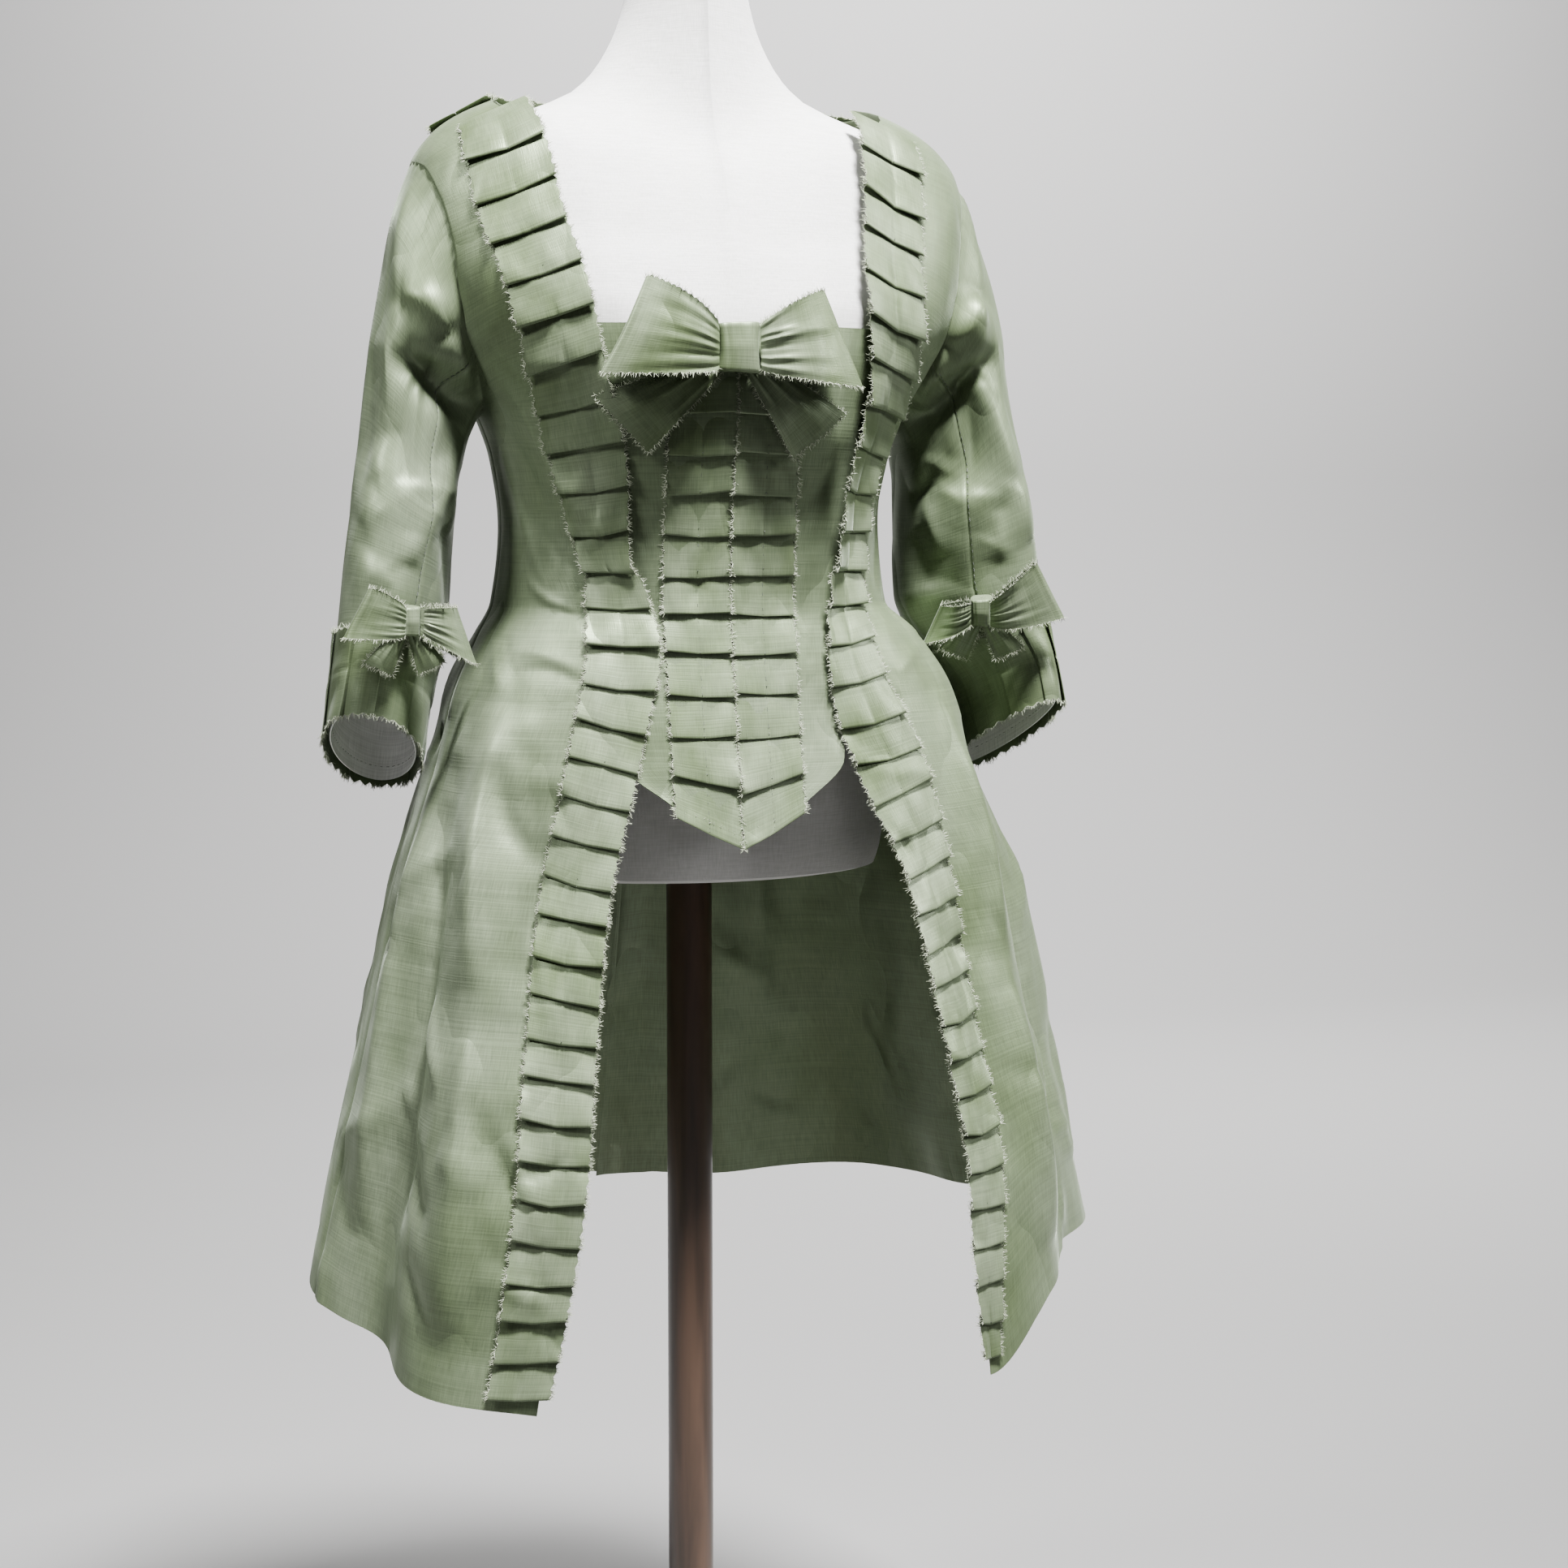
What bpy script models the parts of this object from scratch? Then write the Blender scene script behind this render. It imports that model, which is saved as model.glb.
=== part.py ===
"""A caraco jacket with its stomacher on a dress form, in metres, +Z up.

The wearer faces -Y, and the wearer's left is +X. The origin is on the floor,
under the middle of the form's round base. Every piece of cloth is a thin wall
that follows one body surface or one sleeve surface, moved out layer by layer.
"""

import math

import bpy
import numpy as np


# Layers, measured outwards from the body surface
CLOTH = 0.0015
SEAM_GAP = 0.0003
FORM_GAP = 0.0005
LAYER_GAP = 0.0013
FORM_INSET = 0.0006
FORM_SIDE_INSET = 0.0036
FORM_SHOULDER_INSET = 0.0090


class Table:
    """A short table of sizes, read between its rows along a smooth curve."""

    def __init__(self, columns, rows):
        names = columns.split()
        values = np.array(rows, dtype=float)
        order = np.argsort(values[:, 0])
        values = values[order]
        self.keys = values[:, 0]
        self.columns = {name: values[:, i] for i, name in enumerate(names)}

    def slopes(self, values):
        steps = np.diff(self.keys)
        rises = np.diff(values) / steps
        slopes = np.zeros(len(values))
        slopes[0], slopes[-1] = rises[0], rises[-1]
        for i in range(1, len(values) - 1):
            before, after = rises[i - 1], rises[i]
            if before * after > 0:
                weight = (2 * steps[i] + steps[i - 1]) / before + (steps[i] + 2 * steps[i - 1]) / after
                slopes[i] = 3 * (steps[i] + steps[i - 1]) / weight
        return slopes

    def at(self, key, name):
        values = self.columns[name]
        slopes = self.slopes(values)
        key = np.clip(key, self.keys[0], self.keys[-1])
        i = np.clip(np.searchsorted(self.keys, key) - 1, 0, len(self.keys) - 2)
        step = self.keys[i + 1] - self.keys[i]
        t = (key - self.keys[i]) / step
        return (
            values[i] * (1 + 2 * t) * (1 - t) ** 2
            + slopes[i] * step * t * (1 - t) ** 2
            + values[i + 1] * t * t * (3 - 2 * t)
            - slopes[i + 1] * step * t * t * (1 - t)
        )


# The body surface, a ring at each level. The level is the ring's height at the
# sides; front_z and back_z are its heights at the middle of the front and back,
# right and left its half widths, front and back its half depths, and square
# makes it an oval at 2 and boxier above that.
BODY = Table(
    "level front_z back_z right left front back square",
    [
        (0.420, 0.402, 0.430, 0.290, 0.335, 0.210, 0.305, 2.30),
        (0.527, 0.517, 0.530, 0.274, 0.314, 0.203, 0.270, 2.30),
        (0.650, 0.645, 0.650, 0.250, 0.287, 0.185, 0.232, 2.30),
        (0.760, 0.760, 0.760, 0.227, 0.262, 0.162, 0.200, 2.30),
        (0.860, 0.860, 0.860, 0.200, 0.226, 0.142, 0.170, 2.45),
        (0.925, 0.925, 0.925, 0.183, 0.206, 0.130, 0.140, 2.45),
        (0.965, 0.965, 0.965, 0.165, 0.178, 0.123, 0.112, 2.35),
        (0.990, 0.990, 0.990, 0.153, 0.153, 0.120, 0.099, 2.20),
        (1.050, 1.050, 1.050, 0.146, 0.146, 0.125, 0.098, 2.20),
        (1.100, 1.098, 1.100, 0.152, 0.152, 0.134, 0.102, 2.25),
        (1.135, 1.130, 1.135, 0.164, 0.164, 0.140, 0.106, 2.30),
        (1.170, 1.163, 1.170, 0.184, 0.184, 0.143, 0.109, 2.40),
        (1.200, 1.190, 1.200, 0.201, 0.201, 0.142, 0.110, 2.50),
        (1.250, 1.233, 1.248, 0.213, 0.213, 0.133, 0.110, 2.60),
        (1.290, 1.265, 1.285, 0.216, 0.216, 0.121, 0.104, 2.55),
        (1.318, 1.286, 1.312, 0.211, 0.211, 0.112, 0.098, 2.45),
        (1.340, 1.302, 1.331, 0.196, 0.196, 0.104, 0.091, 2.35),
        (1.352, 1.311, 1.341, 0.180, 0.180, 0.099, 0.086, 2.30),
        (1.363, 1.320, 1.350, 0.157, 0.157, 0.093, 0.081, 2.25),
        (1.374, 1.330, 1.360, 0.129, 0.129, 0.085, 0.075, 2.20),
        (1.388, 1.346, 1.374, 0.098, 0.098, 0.075, 0.068, 2.10),
        (1.410, 1.376, 1.402, 0.078, 0.078, 0.066, 0.062, 2.00),
        (1.440, 1.425, 1.436, 0.064, 0.064, 0.060, 0.058, 2.00),
        (1.470, 1.462, 1.468, 0.058, 0.058, 0.058, 0.057, 2.00),
        (1.500, 1.500, 1.500, 0.057, 0.057, 0.057, 0.057, 2.00),
    ],
)


# The hem: its level round the skirt. The fronts hang lowest at their open edges.
HEM = Table(
    "angle level",
    [
        (-180, 0.460),
        (-100, 0.468),
        (-80, 0.452),
        (-62, 0.430),
        (-30, 0.424),
        (30, 0.422),
        (44, 0.424),
        (56, 0.470),
        (70, 0.488),
        (100, 0.480),
        (180, 0.455),
    ],
)
HEM_LEVEL = 0.420

# The folds of the skirt: where each runs at the waist and at the hem in degrees
# from centre front, its half width in degrees, how far it stands out at the hem
# (inwards when negative) and the level where it starts.
FOLDS = Table(
    "number top_angle hem_angle half_width depth top",
    [
        (1, -62, -56, 9, 0.012, 0.93),
        (2, -80, -74, 7, -0.020, 0.80),
        (3, -100, -93, 10, 0.016, 0.93),
        (4, -128, -118, 8, -0.024, 0.93),
        (5, -146, -140, 9, 0.018, 0.93),
        (6, -164, -160, 8, -0.022, 0.93),
        (7, 178, 180, 9, 0.016, 0.93),
        (8, 160, 158, 8, -0.022, 0.93),
        (9, 142, 138, 9, 0.018, 0.93),
        (10, 122, 114, 8, -0.022, 0.93),
        (11, 98, 92, 10, 0.016, 0.93),
        (12, 74, 68, 8, -0.018, 0.80),
        (13, 60, 54, 8, 0.008, 0.90),
    ],
)


def fold_depth(angle, level):
    depth = np.zeros(np.broadcast(angle, level).shape)
    for i in range(len(FOLDS.keys)):
        fold = {name: values[i] for name, values in FOLDS.columns.items()}
        fall = np.clip((fold["top"] - level) / (fold["top"] - HEM_LEVEL), 0, 1)
        centre = fold["top_angle"] + (fold["hem_angle"] - fold["top_angle"]) * fall
        away = (angle - centre + 180) % 360 - 180
        depth = depth + fold["depth"] * fall ** 1.2 * np.exp(-(away / fold["half_width"]) ** 2)
    return depth


def ring_radius(angle, level):
    sine, cosine = np.sin(np.radians(angle)), np.cos(np.radians(angle))
    width = np.where(sine > 0, BODY.at(level, "left"), BODY.at(level, "right"))
    depth = np.where(cosine > 0, BODY.at(level, "front"), BODY.at(level, "back"))
    power = BODY.at(level, "square")
    oval = (np.abs(sine / width) ** power + np.abs(cosine / depth) ** power) ** (-1 / power)
    return oval + fold_depth(angle, level)


def ring_height(angle, level):
    cosine = np.cos(np.radians(angle))
    middle = np.where(cosine > 0, BODY.at(level, "front_z"), BODY.at(level, "back_z"))
    return level + (middle - level) * cosine ** 2


def body(angle, level):
    """Points of the body surface; the angle is 0 at the front and +90 at the left."""
    angle, level = np.broadcast_arrays(np.asarray(angle, float), np.asarray(level, float))
    radius = ring_radius(angle, level)
    x = radius * np.sin(np.radians(angle))
    y = -radius * np.cos(np.radians(angle))
    return np.stack([x, y, ring_height(angle, level)], axis=-1)


def place(x, z):
    """The angle and level of the front point at this x and height."""
    x, z = np.broadcast_arrays(np.asarray(x, float), np.asarray(z, float))
    low, high = z - 0.03, z + 0.12
    for _ in range(40):
        level = (low + high) / 2
        angle = angle_at(x, level)
        above = ring_height(angle, level) > z
        high = np.where(above, level, high)
        low = np.where(above, low, level)
    return angle_at(x, level), level


def angle_at(x, level):
    low, high = np.zeros_like(x), np.full_like(x, 90.0)
    for _ in range(40):
        angle = (low + high) / 2
        beyond = ring_radius(np.sign(x) * angle, level) * np.sin(np.radians(angle)) > np.abs(x)
        high = np.where(beyond, angle, high)
        low = np.where(beyond, low, angle)
    return np.sign(x) * angle


def lift(angle, level, out):
    """Body points moved out along the surface's own normal."""
    angle, level = np.asarray(angle, float), np.asarray(level, float)
    around = body(angle + 0.4, level) - body(angle - 0.4, level)
    upward = body(angle, level + 0.001) - body(angle, level - 0.001)
    normal = np.cross(around, upward)
    normal /= np.linalg.norm(normal, axis=-1, keepdims=True)
    return body(angle, level) + normal * np.asarray(out, float)[..., None]


def hex_colour(text):
    channels = [int(text[i:i + 2], 16) / 255 for i in (0, 2, 4)]
    return [c / 12.92 if c < 0.04045 else ((c + 0.055) / 1.055) ** 2.4 for c in channels] + [1.0]


def material(name, colour, roughness, metallic=0.0):
    finish = bpy.data.materials.new(name)
    finish.use_nodes = True
    shader = finish.node_tree.nodes["Principled BSDF"]
    shader.inputs["Base Color"].default_value = hex_colour(colour)
    shader.inputs["Roughness"].default_value = roughness
    shader.inputs["Metallic"].default_value = metallic
    finish.diffuse_color = hex_colour(colour)
    return finish


for old in list(bpy.data.objects):
    bpy.data.objects.remove(old)

TAFFETA = material("green taffeta", "7D8C64", 0.35)
TRIM = material("pleated green taffeta", "8A9A72", 0.35)
LINING = material("pale grey linen", "B9B8B2", 0.8)
FORM = material("off-white linen cover", "DAD7CE", 0.85)
WOOD = material("dark turned wood", "4A372A", 0.45)


def solid(name, inner, outer, finish, round_columns=False):
    """One closed wall between two grids of points, rows by columns."""
    rows, columns = inner.shape[:2]
    count = rows * columns
    points = np.concatenate([inner.reshape(-1, 3), outer.reshape(-1, 3)])
    spans = columns if round_columns else columns - 1
    faces = []
    for i in range(rows - 1):
        for j in range(spans):
            k = (j + 1) % columns
            a, b, c, d = i * columns + j, i * columns + k, (i + 1) * columns + k, (i + 1) * columns + j
            for half in ([a, b, c], [a, c, d]):
                faces.append(half[::-1])
                faces.append([corner + count for corner in half])
    for i, turned in ((0, True), (rows - 1, False)):
        for j in range(spans):
            a, b = i * columns + j, i * columns + (j + 1) % columns
            for side in ([a, b, b + count], [a, b + count, a + count]):
                faces.append(side if turned else side[::-1])
    if not round_columns:
        for j, turned in ((0, False), (columns - 1, True)):
            for i in range(rows - 1):
                a, b = i * columns + j, (i + 1) * columns + j
                for side in ([a, b, b + count], [a, b + count, a + count]):
                    faces.append(side if turned else side[::-1])
    return mesh_object(name, points, faces, finish)


def mesh_object(name, points, faces, finish):
    mesh = bpy.data.meshes.new(name)
    mesh.from_pydata([tuple(p) for p in points], [], faces)
    mesh.update()
    volume = sum(
        mesh.vertices[f.vertices[0]].co.dot(
            mesh.vertices[f.vertices[i]].co.cross(mesh.vertices[f.vertices[i + 1]].co))
        for f in mesh.polygons for i in range(1, len(f.vertices) - 1)
    )
    if volume < 0:
        mesh.flip_normals()
    mesh.materials.append(finish)
    mesh.shade_smooth()
    mesh.set_sharp_from_angle(angle=math.radians(40))
    piece = bpy.data.objects.new(name, mesh)
    bpy.context.scene.collection.objects.link(piece)
    return piece


def wall(name, grid, finish, thickness=CLOTH, round_columns=False):
    """A wall of cloth whose inner face is a free grid of points."""
    if round_columns:
        across = np.roll(grid, -1, axis=1) - np.roll(grid, 1, axis=1)
    else:
        across = np.gradient(grid, axis=1)
    normal = np.cross(np.gradient(grid, axis=0), across)
    normal /= np.linalg.norm(normal, axis=-1, keepdims=True)
    return solid(name, grid, grid + normal * thickness, finish, round_columns)


# The robings: the half of the front between the outer and inner edge of each
# pleated strip, as distances from centre front at each height. The slope is how
# much higher the inner end of a pleat lies than its outer end.
ROBINGS = Table(
    "height right_outer right_inner left_outer left_inner slope left_stand",
    [
        (0.424, 0.200, 0.158, 0.186, 0.170, 0.000, 0.004),
        (0.480, 0.189, 0.145, 0.190, 0.165, -0.002, 0.003),
        (0.580, 0.173, 0.127, 0.194, 0.161, -0.004, 0.001),
        (0.670, 0.164, 0.117, 0.184, 0.147, -0.008, 0.000),
        (0.780, 0.149, 0.101, 0.169, 0.126, -0.012, 0.000),
        (0.860, 0.128, 0.080, 0.151, 0.092, -0.014, 0.000),
        (0.910, 0.116, 0.067, 0.130, 0.076, -0.010, 0.000),
        (0.955, 0.106, 0.057, 0.112, 0.070, -0.004, 0.004),
        (1.010, 0.102, 0.067, 0.106, 0.070, 0.000, 0.009),
        (1.020, 0.105, 0.074, 0.108, 0.073, 0.002, 0.010),
        (1.077, 0.118, 0.077, 0.114, 0.080, 0.006, 0.009),
        (1.120, 0.131, 0.084, 0.131, 0.090, 0.010, 0.006),
        (1.160, 0.143, 0.096, 0.145, 0.098, 0.013, 0.004),
        (1.230, 0.165, 0.112, 0.147, 0.097, 0.017, 0.003),
        (1.280, 0.180, 0.125, 0.153, 0.103, 0.020, 0.002),
        (1.320, 0.184, 0.130, 0.158, 0.108, 0.022, 0.001),
        (1.350, 0.184, 0.136, 0.160, 0.112, 0.022, 0.000),
    ],
)
ROBING_TOP = 1.350
ROBING_JOIN = 1.015
ROBING_BOTTOM = 0.424
PLEATS_ABOVE_JOIN = 11
PLEATS_BELOW_JOIN = 21
FOLD_RUN = 0.003
EDGE_INSIDE_ROBING = 0.009

# Heights of the panels' rows: wide apart on the skirt, closer at the waist
SKIRT_LEVELS = [HEM_LEVEL, 0.47, 0.52, 0.58, 0.63, 0.68, 0.73, 0.78, 0.82, 0.86, 0.895]
WAIST_LEVELS = [0.92, 0.94, 0.955, 0.97, 0.985, 1.00, 1.02, 1.045, 1.075, 1.105]
FRONT_COLUMNS = 10
BACK_COLUMNS = 9
HEM_RISE_TOP = 0.70
SEAM_ANGLE = 0.08

# The armholes: an upright oval on the body surface at each side
ARMHOLE_BOTTOM = 1.135
ARMHOLE_TOP = 1.318
ARMHOLE_STEPS = 9
ARMHOLE_HALF_ANGLE = 21.0


def armhole(turn, inset=0.0):
    """Angle from centre front and level; turn is 0 at the top, 90 in front."""
    turn = np.radians(turn)
    middle = (ARMHOLE_TOP + ARMHOLE_BOTTOM) / 2
    reach = (ARMHOLE_TOP - ARMHOLE_BOTTOM) / 2
    level = middle + (reach - inset) * np.cos(turn)
    swing = np.sign(np.sin(turn)) * np.abs(np.sin(turn)) ** 0.85
    return 90 - (ARMHOLE_HALF_ANGLE - inset * 300) * swing, level


def outer_edge(direction):
    """Side seam and armhole, from the hem to the shoulder, in front (+1) or behind (-1)."""
    levels = np.array(SKIRT_LEVELS + WAIST_LEVELS)
    turns = np.linspace(180, 0, ARMHOLE_STEPS + 1)
    hole_angle, hole_level = armhole(direction * turns)
    angles = np.concatenate([np.full(len(levels), 90.0), hole_angle])
    angles = angles - direction * SEAM_ANGLE
    return angles, np.concatenate([levels, hole_level])


def front_base(angle, level):
    """How far the fronts lie off the body: just over the stomacher where it is."""
    near = np.clip((66 - np.abs(angle)) / 14, 0, 1) * np.clip((1.27 - level) / 0.05, 0, 1)
    ease = near * near * (3 - 2 * near)
    return FORM_GAP + ease * (CLOTH + LAYER_GAP)


def panel(name, edge_angle, edge_level, side_angle, side_level, base, columns):
    share = np.linspace(0, 1, columns)
    angle = edge_angle[:, None] * (1 - share) + side_angle[:, None] * share
    level = edge_level[:, None] * (1 - share) + side_level[:, None] * share
    rise = HEM.at(angle[0], "level") - HEM_LEVEL
    level = level + rise * np.clip((HEM_RISE_TOP - level) / (HEM_RISE_TOP - HEM_LEVEL), 0, 1)
    start = base(angle, level)
    return solid(name, lift(angle, level, start), lift(angle, level, start + CLOTH), TAFFETA)


def front_panel(name, sign, side):
    side_angle, side_level = outer_edge(1)
    hole_rows = ARMHOLE_STEPS + 1
    lower = np.array(SKIRT_LEVELS + WAIST_LEVELS)
    middle_height = ring_height(38.0, lower)
    upper = np.linspace(1.132, 1.3665, hole_rows)
    height = np.concatenate([middle_height, upper])
    inner = ROBINGS.at(height, side + "_inner")
    edge_x = sign * (inner + EDGE_INSIDE_ROBING)
    edge_angle, edge_level = place(edge_x, height)
    edge_angle[-1] = sign * (90 - SEAM_ANGLE)
    return panel(name, edge_angle, edge_level, sign * side_angle, side_level, front_base,
                 FRONT_COLUMNS)


# The back neck: the level of the trim's two edges at the shoulder and at the back
NECK_EDGE_LEVEL = (1.3665, 1.379)
BACK_RISE_ROWS = 6


def back_panel(name, sign):
    side_angle, side_level = outer_edge(-1)
    hole_rows = ARMHOLE_STEPS + 1
    lower = np.array(SKIRT_LEVELS + WAIST_LEVELS)
    rise = np.linspace(1.145, NECK_EDGE_LEVEL[1], BACK_RISE_ROWS)
    along = np.linspace(0, 1, hole_rows - BACK_RISE_ROWS + 1)[1:]
    neck_angle = 180 - (90 - SEAM_ANGLE) * along
    neck_level = NECK_EDGE_LEVEL[1] + (NECK_EDGE_LEVEL[0] - NECK_EDGE_LEVEL[1]) * along
    centre = np.full(len(lower) + BACK_RISE_ROWS, 180.0 - SEAM_ANGLE)
    edge_angle = np.concatenate([centre, neck_angle])
    edge_level = np.concatenate([lower, rise, neck_level])
    return panel(name, sign * edge_angle, edge_level, sign * side_angle, side_level,
                 lambda angle, level: np.full_like(angle, FORM_GAP), BACK_COLUMNS)


front_panel("front_right", -1, "right")
front_panel("front_left", 1, "left")
back_panel("back_right", -1)
back_panel("back_left", 1)


# The stomacher: half widths and rows from the top edge down to the point
STOMACHER = Table(
    "height half_width",
    [
        (0.822, 0.020),
        (0.845, 0.052),
        (0.875, 0.084),
        (0.930, 0.088),
        (1.000, 0.092),
        (1.100, 0.106),
        (1.194, 0.122),
    ],
)
STOMACHER_ROWS = 15
STOMACHER_COLUMNS = 11
CENTRE_X = -0.003


def spread(table, first, last, rows, columns, centre):
    height = np.linspace(first, last, rows)[:, None]
    share = np.linspace(-1, 1, columns)[None, :]
    x = centre + table.at(height, "half_width") * share
    return place(x, height + 0 * share)


angle, level = spread(STOMACHER, 0.822, 1.194, STOMACHER_ROWS, STOMACHER_COLUMNS, CENTRE_X)
solid("stomacher", lift(angle, level, FORM_GAP + 0 * angle),
      lift(angle, level, FORM_GAP + CLOTH + 0 * angle), TAFFETA)


# Pleated strips: the folds lie across the strip, each standing over the next one.
# A fold stands most at the raw edges and least where the strip is stitched down.
ACROSS = [0.0, 0.22, 0.5, 0.78, 1.0]
FOLD_AT_EDGE = 0.0042
FOLD_AT_STITCHES = 0.0022
STRIP_GAP = 0.0009
SHOULDER_EASE = 0.0012


def pleat_rows(start, end, pleats, between=()):
    """Places along a strip, and how far a fold stands out there, from 0 to 1."""
    pitch = (end - start) / pleats
    run = math.copysign(min(FOLD_RUN, abs(pitch) * 0.1), pitch)
    places, stands = [], []
    for i in range(pleats):
        low, high = start + i * pitch, start + (i + 1) * pitch - run
        places += [low] + [low + (high - low) * share for share in between] + [high]
        stands += [0.0] + list(between) + [1.0]
    return np.array(places), np.array(stands)


def fold_profile():
    middle = np.abs(2 * np.array(ACROSS) - 1)
    return FOLD_AT_STITCHES + (FOLD_AT_EDGE - FOLD_AT_STITCHES) * middle ** 1.5


def robing(name, sign, side):
    above, high = pleat_rows(ROBING_TOP, ROBING_JOIN, PLEATS_ABOVE_JOIN)
    below, low = pleat_rows(ROBING_JOIN, ROBING_BOTTOM, PLEATS_BELOW_JOIN)
    height = np.concatenate([above, below])[:, None]
    stand = np.concatenate([high, low])[:, None]
    share = np.array(ACROSS)[None, :]
    slope = ROBINGS.at(height, "slope")
    skew = 0.0025 * np.sin(2.4 * np.arange(len(height)) // 2)[:, None] * stand
    at = height + slope * (share - 0.5) + skew * (share - 0.5)
    outer = ROBINGS.at(at, side + "_outer")
    inner = ROBINGS.at(at, side + "_inner")
    flare = 0.0012 * stand * np.abs(2 * share - 1)
    x = sign * (outer + (inner - outer) * (share + flare / 0.05 * np.sign(share - 0.5)))
    angle, level = place(x, at)
    away = STRIP_GAP + stand * fold_profile() + SHOULDER_EASE * np.clip((at - 1.29) / 0.03, 0, 1)
    if side == "left":
        away = away + ROBINGS.at(at, "left_stand") * np.clip(2 * share - 1, 0, 1)
    base = front_base(angle, level) + CLOTH + away
    return solid(name, lift(angle, level, base), lift(angle, level, base + CLOTH), TRIM)


robing("robing_right", -1, "right")
robing("robing_left", 1, "left")

# The trim round the back of the neck, in the same pleats
NECK_TRIM_PLEATS = 12
NECK_TRIM_START = 97.0
NECK_TRIM_LEVELS = Table(
    "angle low high",
    [(97, 1.343, 1.3655), (120, 1.335, 1.374), (180, 1.332, 1.3785),
     (240, 1.335, 1.374), (263, 1.343, 1.3655)],
)


def neck_trim():
    at, stand = pleat_rows(NECK_TRIM_START, 360 - NECK_TRIM_START, NECK_TRIM_PLEATS)
    at, stand = at[:, None], stand[:, None]
    share = np.array(ACROSS)[None, :]
    low, high = NECK_TRIM_LEVELS.at(at, "low"), NECK_TRIM_LEVELS.at(at, "high")
    level = low + (high - low) * share
    angle = at + 0 * share
    base = FORM_GAP + CLOTH + STRIP_GAP + 1.7 * SHOULDER_EASE + stand * fold_profile()
    angle = (angle + 180) % 360 - 180
    solid("neck_trim", lift(angle, level, base), lift(angle, level, base + CLOTH), TRIM)


neck_trim()

# The stomacher's two pleated columns, and the point in which they end
TRIM_HALF_WIDTH = 0.049
TRIM_TOP = 1.190
TRIM_CORNER = 0.836
TRIM_POINT = 0.812
TRIM_PLEATS = 12


def stomacher_trim(name, sign):
    at, stand = pleat_rows(TRIM_TOP, TRIM_CORNER, TRIM_PLEATS)
    at, stand = at[:, None], stand[:, None]
    share = np.array([0.0, 0.3, 0.7, 1.0])[None, :]
    x = CENTRE_X + sign * (0.0004 + (TRIM_HALF_WIDTH - 0.0004) * share)
    drop = np.clip((0.90 - at) / (0.90 - TRIM_CORNER), 0, 1)
    height = at - (TRIM_CORNER - TRIM_POINT) * drop * (1 - share)
    angle, level = place(x, height)
    base = FORM_GAP + CLOTH + STRIP_GAP + stand * (0.0022 + 0.0016 * share)
    solid(name, lift(angle, level, base), lift(angle, level, base + CLOTH), TRIM)


stomacher_trim("stomacher_trim_right", -1)
stomacher_trim("stomacher_trim_left", 1)


# The sleeves: a ring at each place along the arm, through an outer and an inner
# point, with its half depth; skew moves the front of the ring outwards, and
# slant lifts it, as at the cuff, which is short in front and long at the elbow.
SLEEVES = Table(
    "along right_outer right_inner right_depth left_outer left_inner left_depth "
    "outer_z inner_z skew slant",
    [
        (0.00, 0.213, 0.167, 0.068, 0.213, 0.167, 0.068, 1.320, 1.134, 0.000, 0.000),
        (0.05, 0.219, 0.172, 0.068, 0.219, 0.172, 0.068, 1.303, 1.124, 0.000, 0.000),
        (0.12, 0.228, 0.176, 0.067, 0.230, 0.176, 0.067, 1.275, 1.110, 0.003, 0.000),
        (0.22, 0.238, 0.180, 0.066, 0.243, 0.180, 0.065, 1.225, 1.093, 0.006, 0.000),
        (0.35, 0.248, 0.184, 0.064, 0.256, 0.183, 0.061, 1.160, 1.070, 0.010, 0.000),
        (0.50, 0.258, 0.187, 0.062, 0.271, 0.183, 0.056, 1.085, 1.035, 0.013, 0.002),
        (0.65, 0.267, 0.190, 0.062, 0.282, 0.184, 0.051, 1.020, 0.995, 0.015, 0.006),
        (0.80, 0.273, 0.200, 0.062, 0.287, 0.210, 0.051, 0.965, 0.950, 0.015, 0.014),
        (0.92, 0.278, 0.208, 0.062, 0.290, 0.232, 0.054, 0.925, 0.915, 0.015, 0.024),
        (1.00, 0.281, 0.213, 0.062, 0.292, 0.239, 0.057, 0.895, 0.888, 0.015, 0.030),
        (1.06, 0.283, 0.218, 0.062, 0.293, 0.244, 0.058, 0.873, 0.868, 0.015, 0.034),
    ],
)
SLEEVE_RINGS = [0.0, 0.05, 0.12, 0.20, 0.30, 0.40, 0.50, 0.60, 0.70, 0.80, 0.90, 1.0]
SET_IN_LIFT = 0.0009
UNDERARM_LIFT = 0.0020
FRONT_SEAM = 120.0
BACK_SEAM = 240.0
SLEEVE_SEAM_TURN = 0.22


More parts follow.
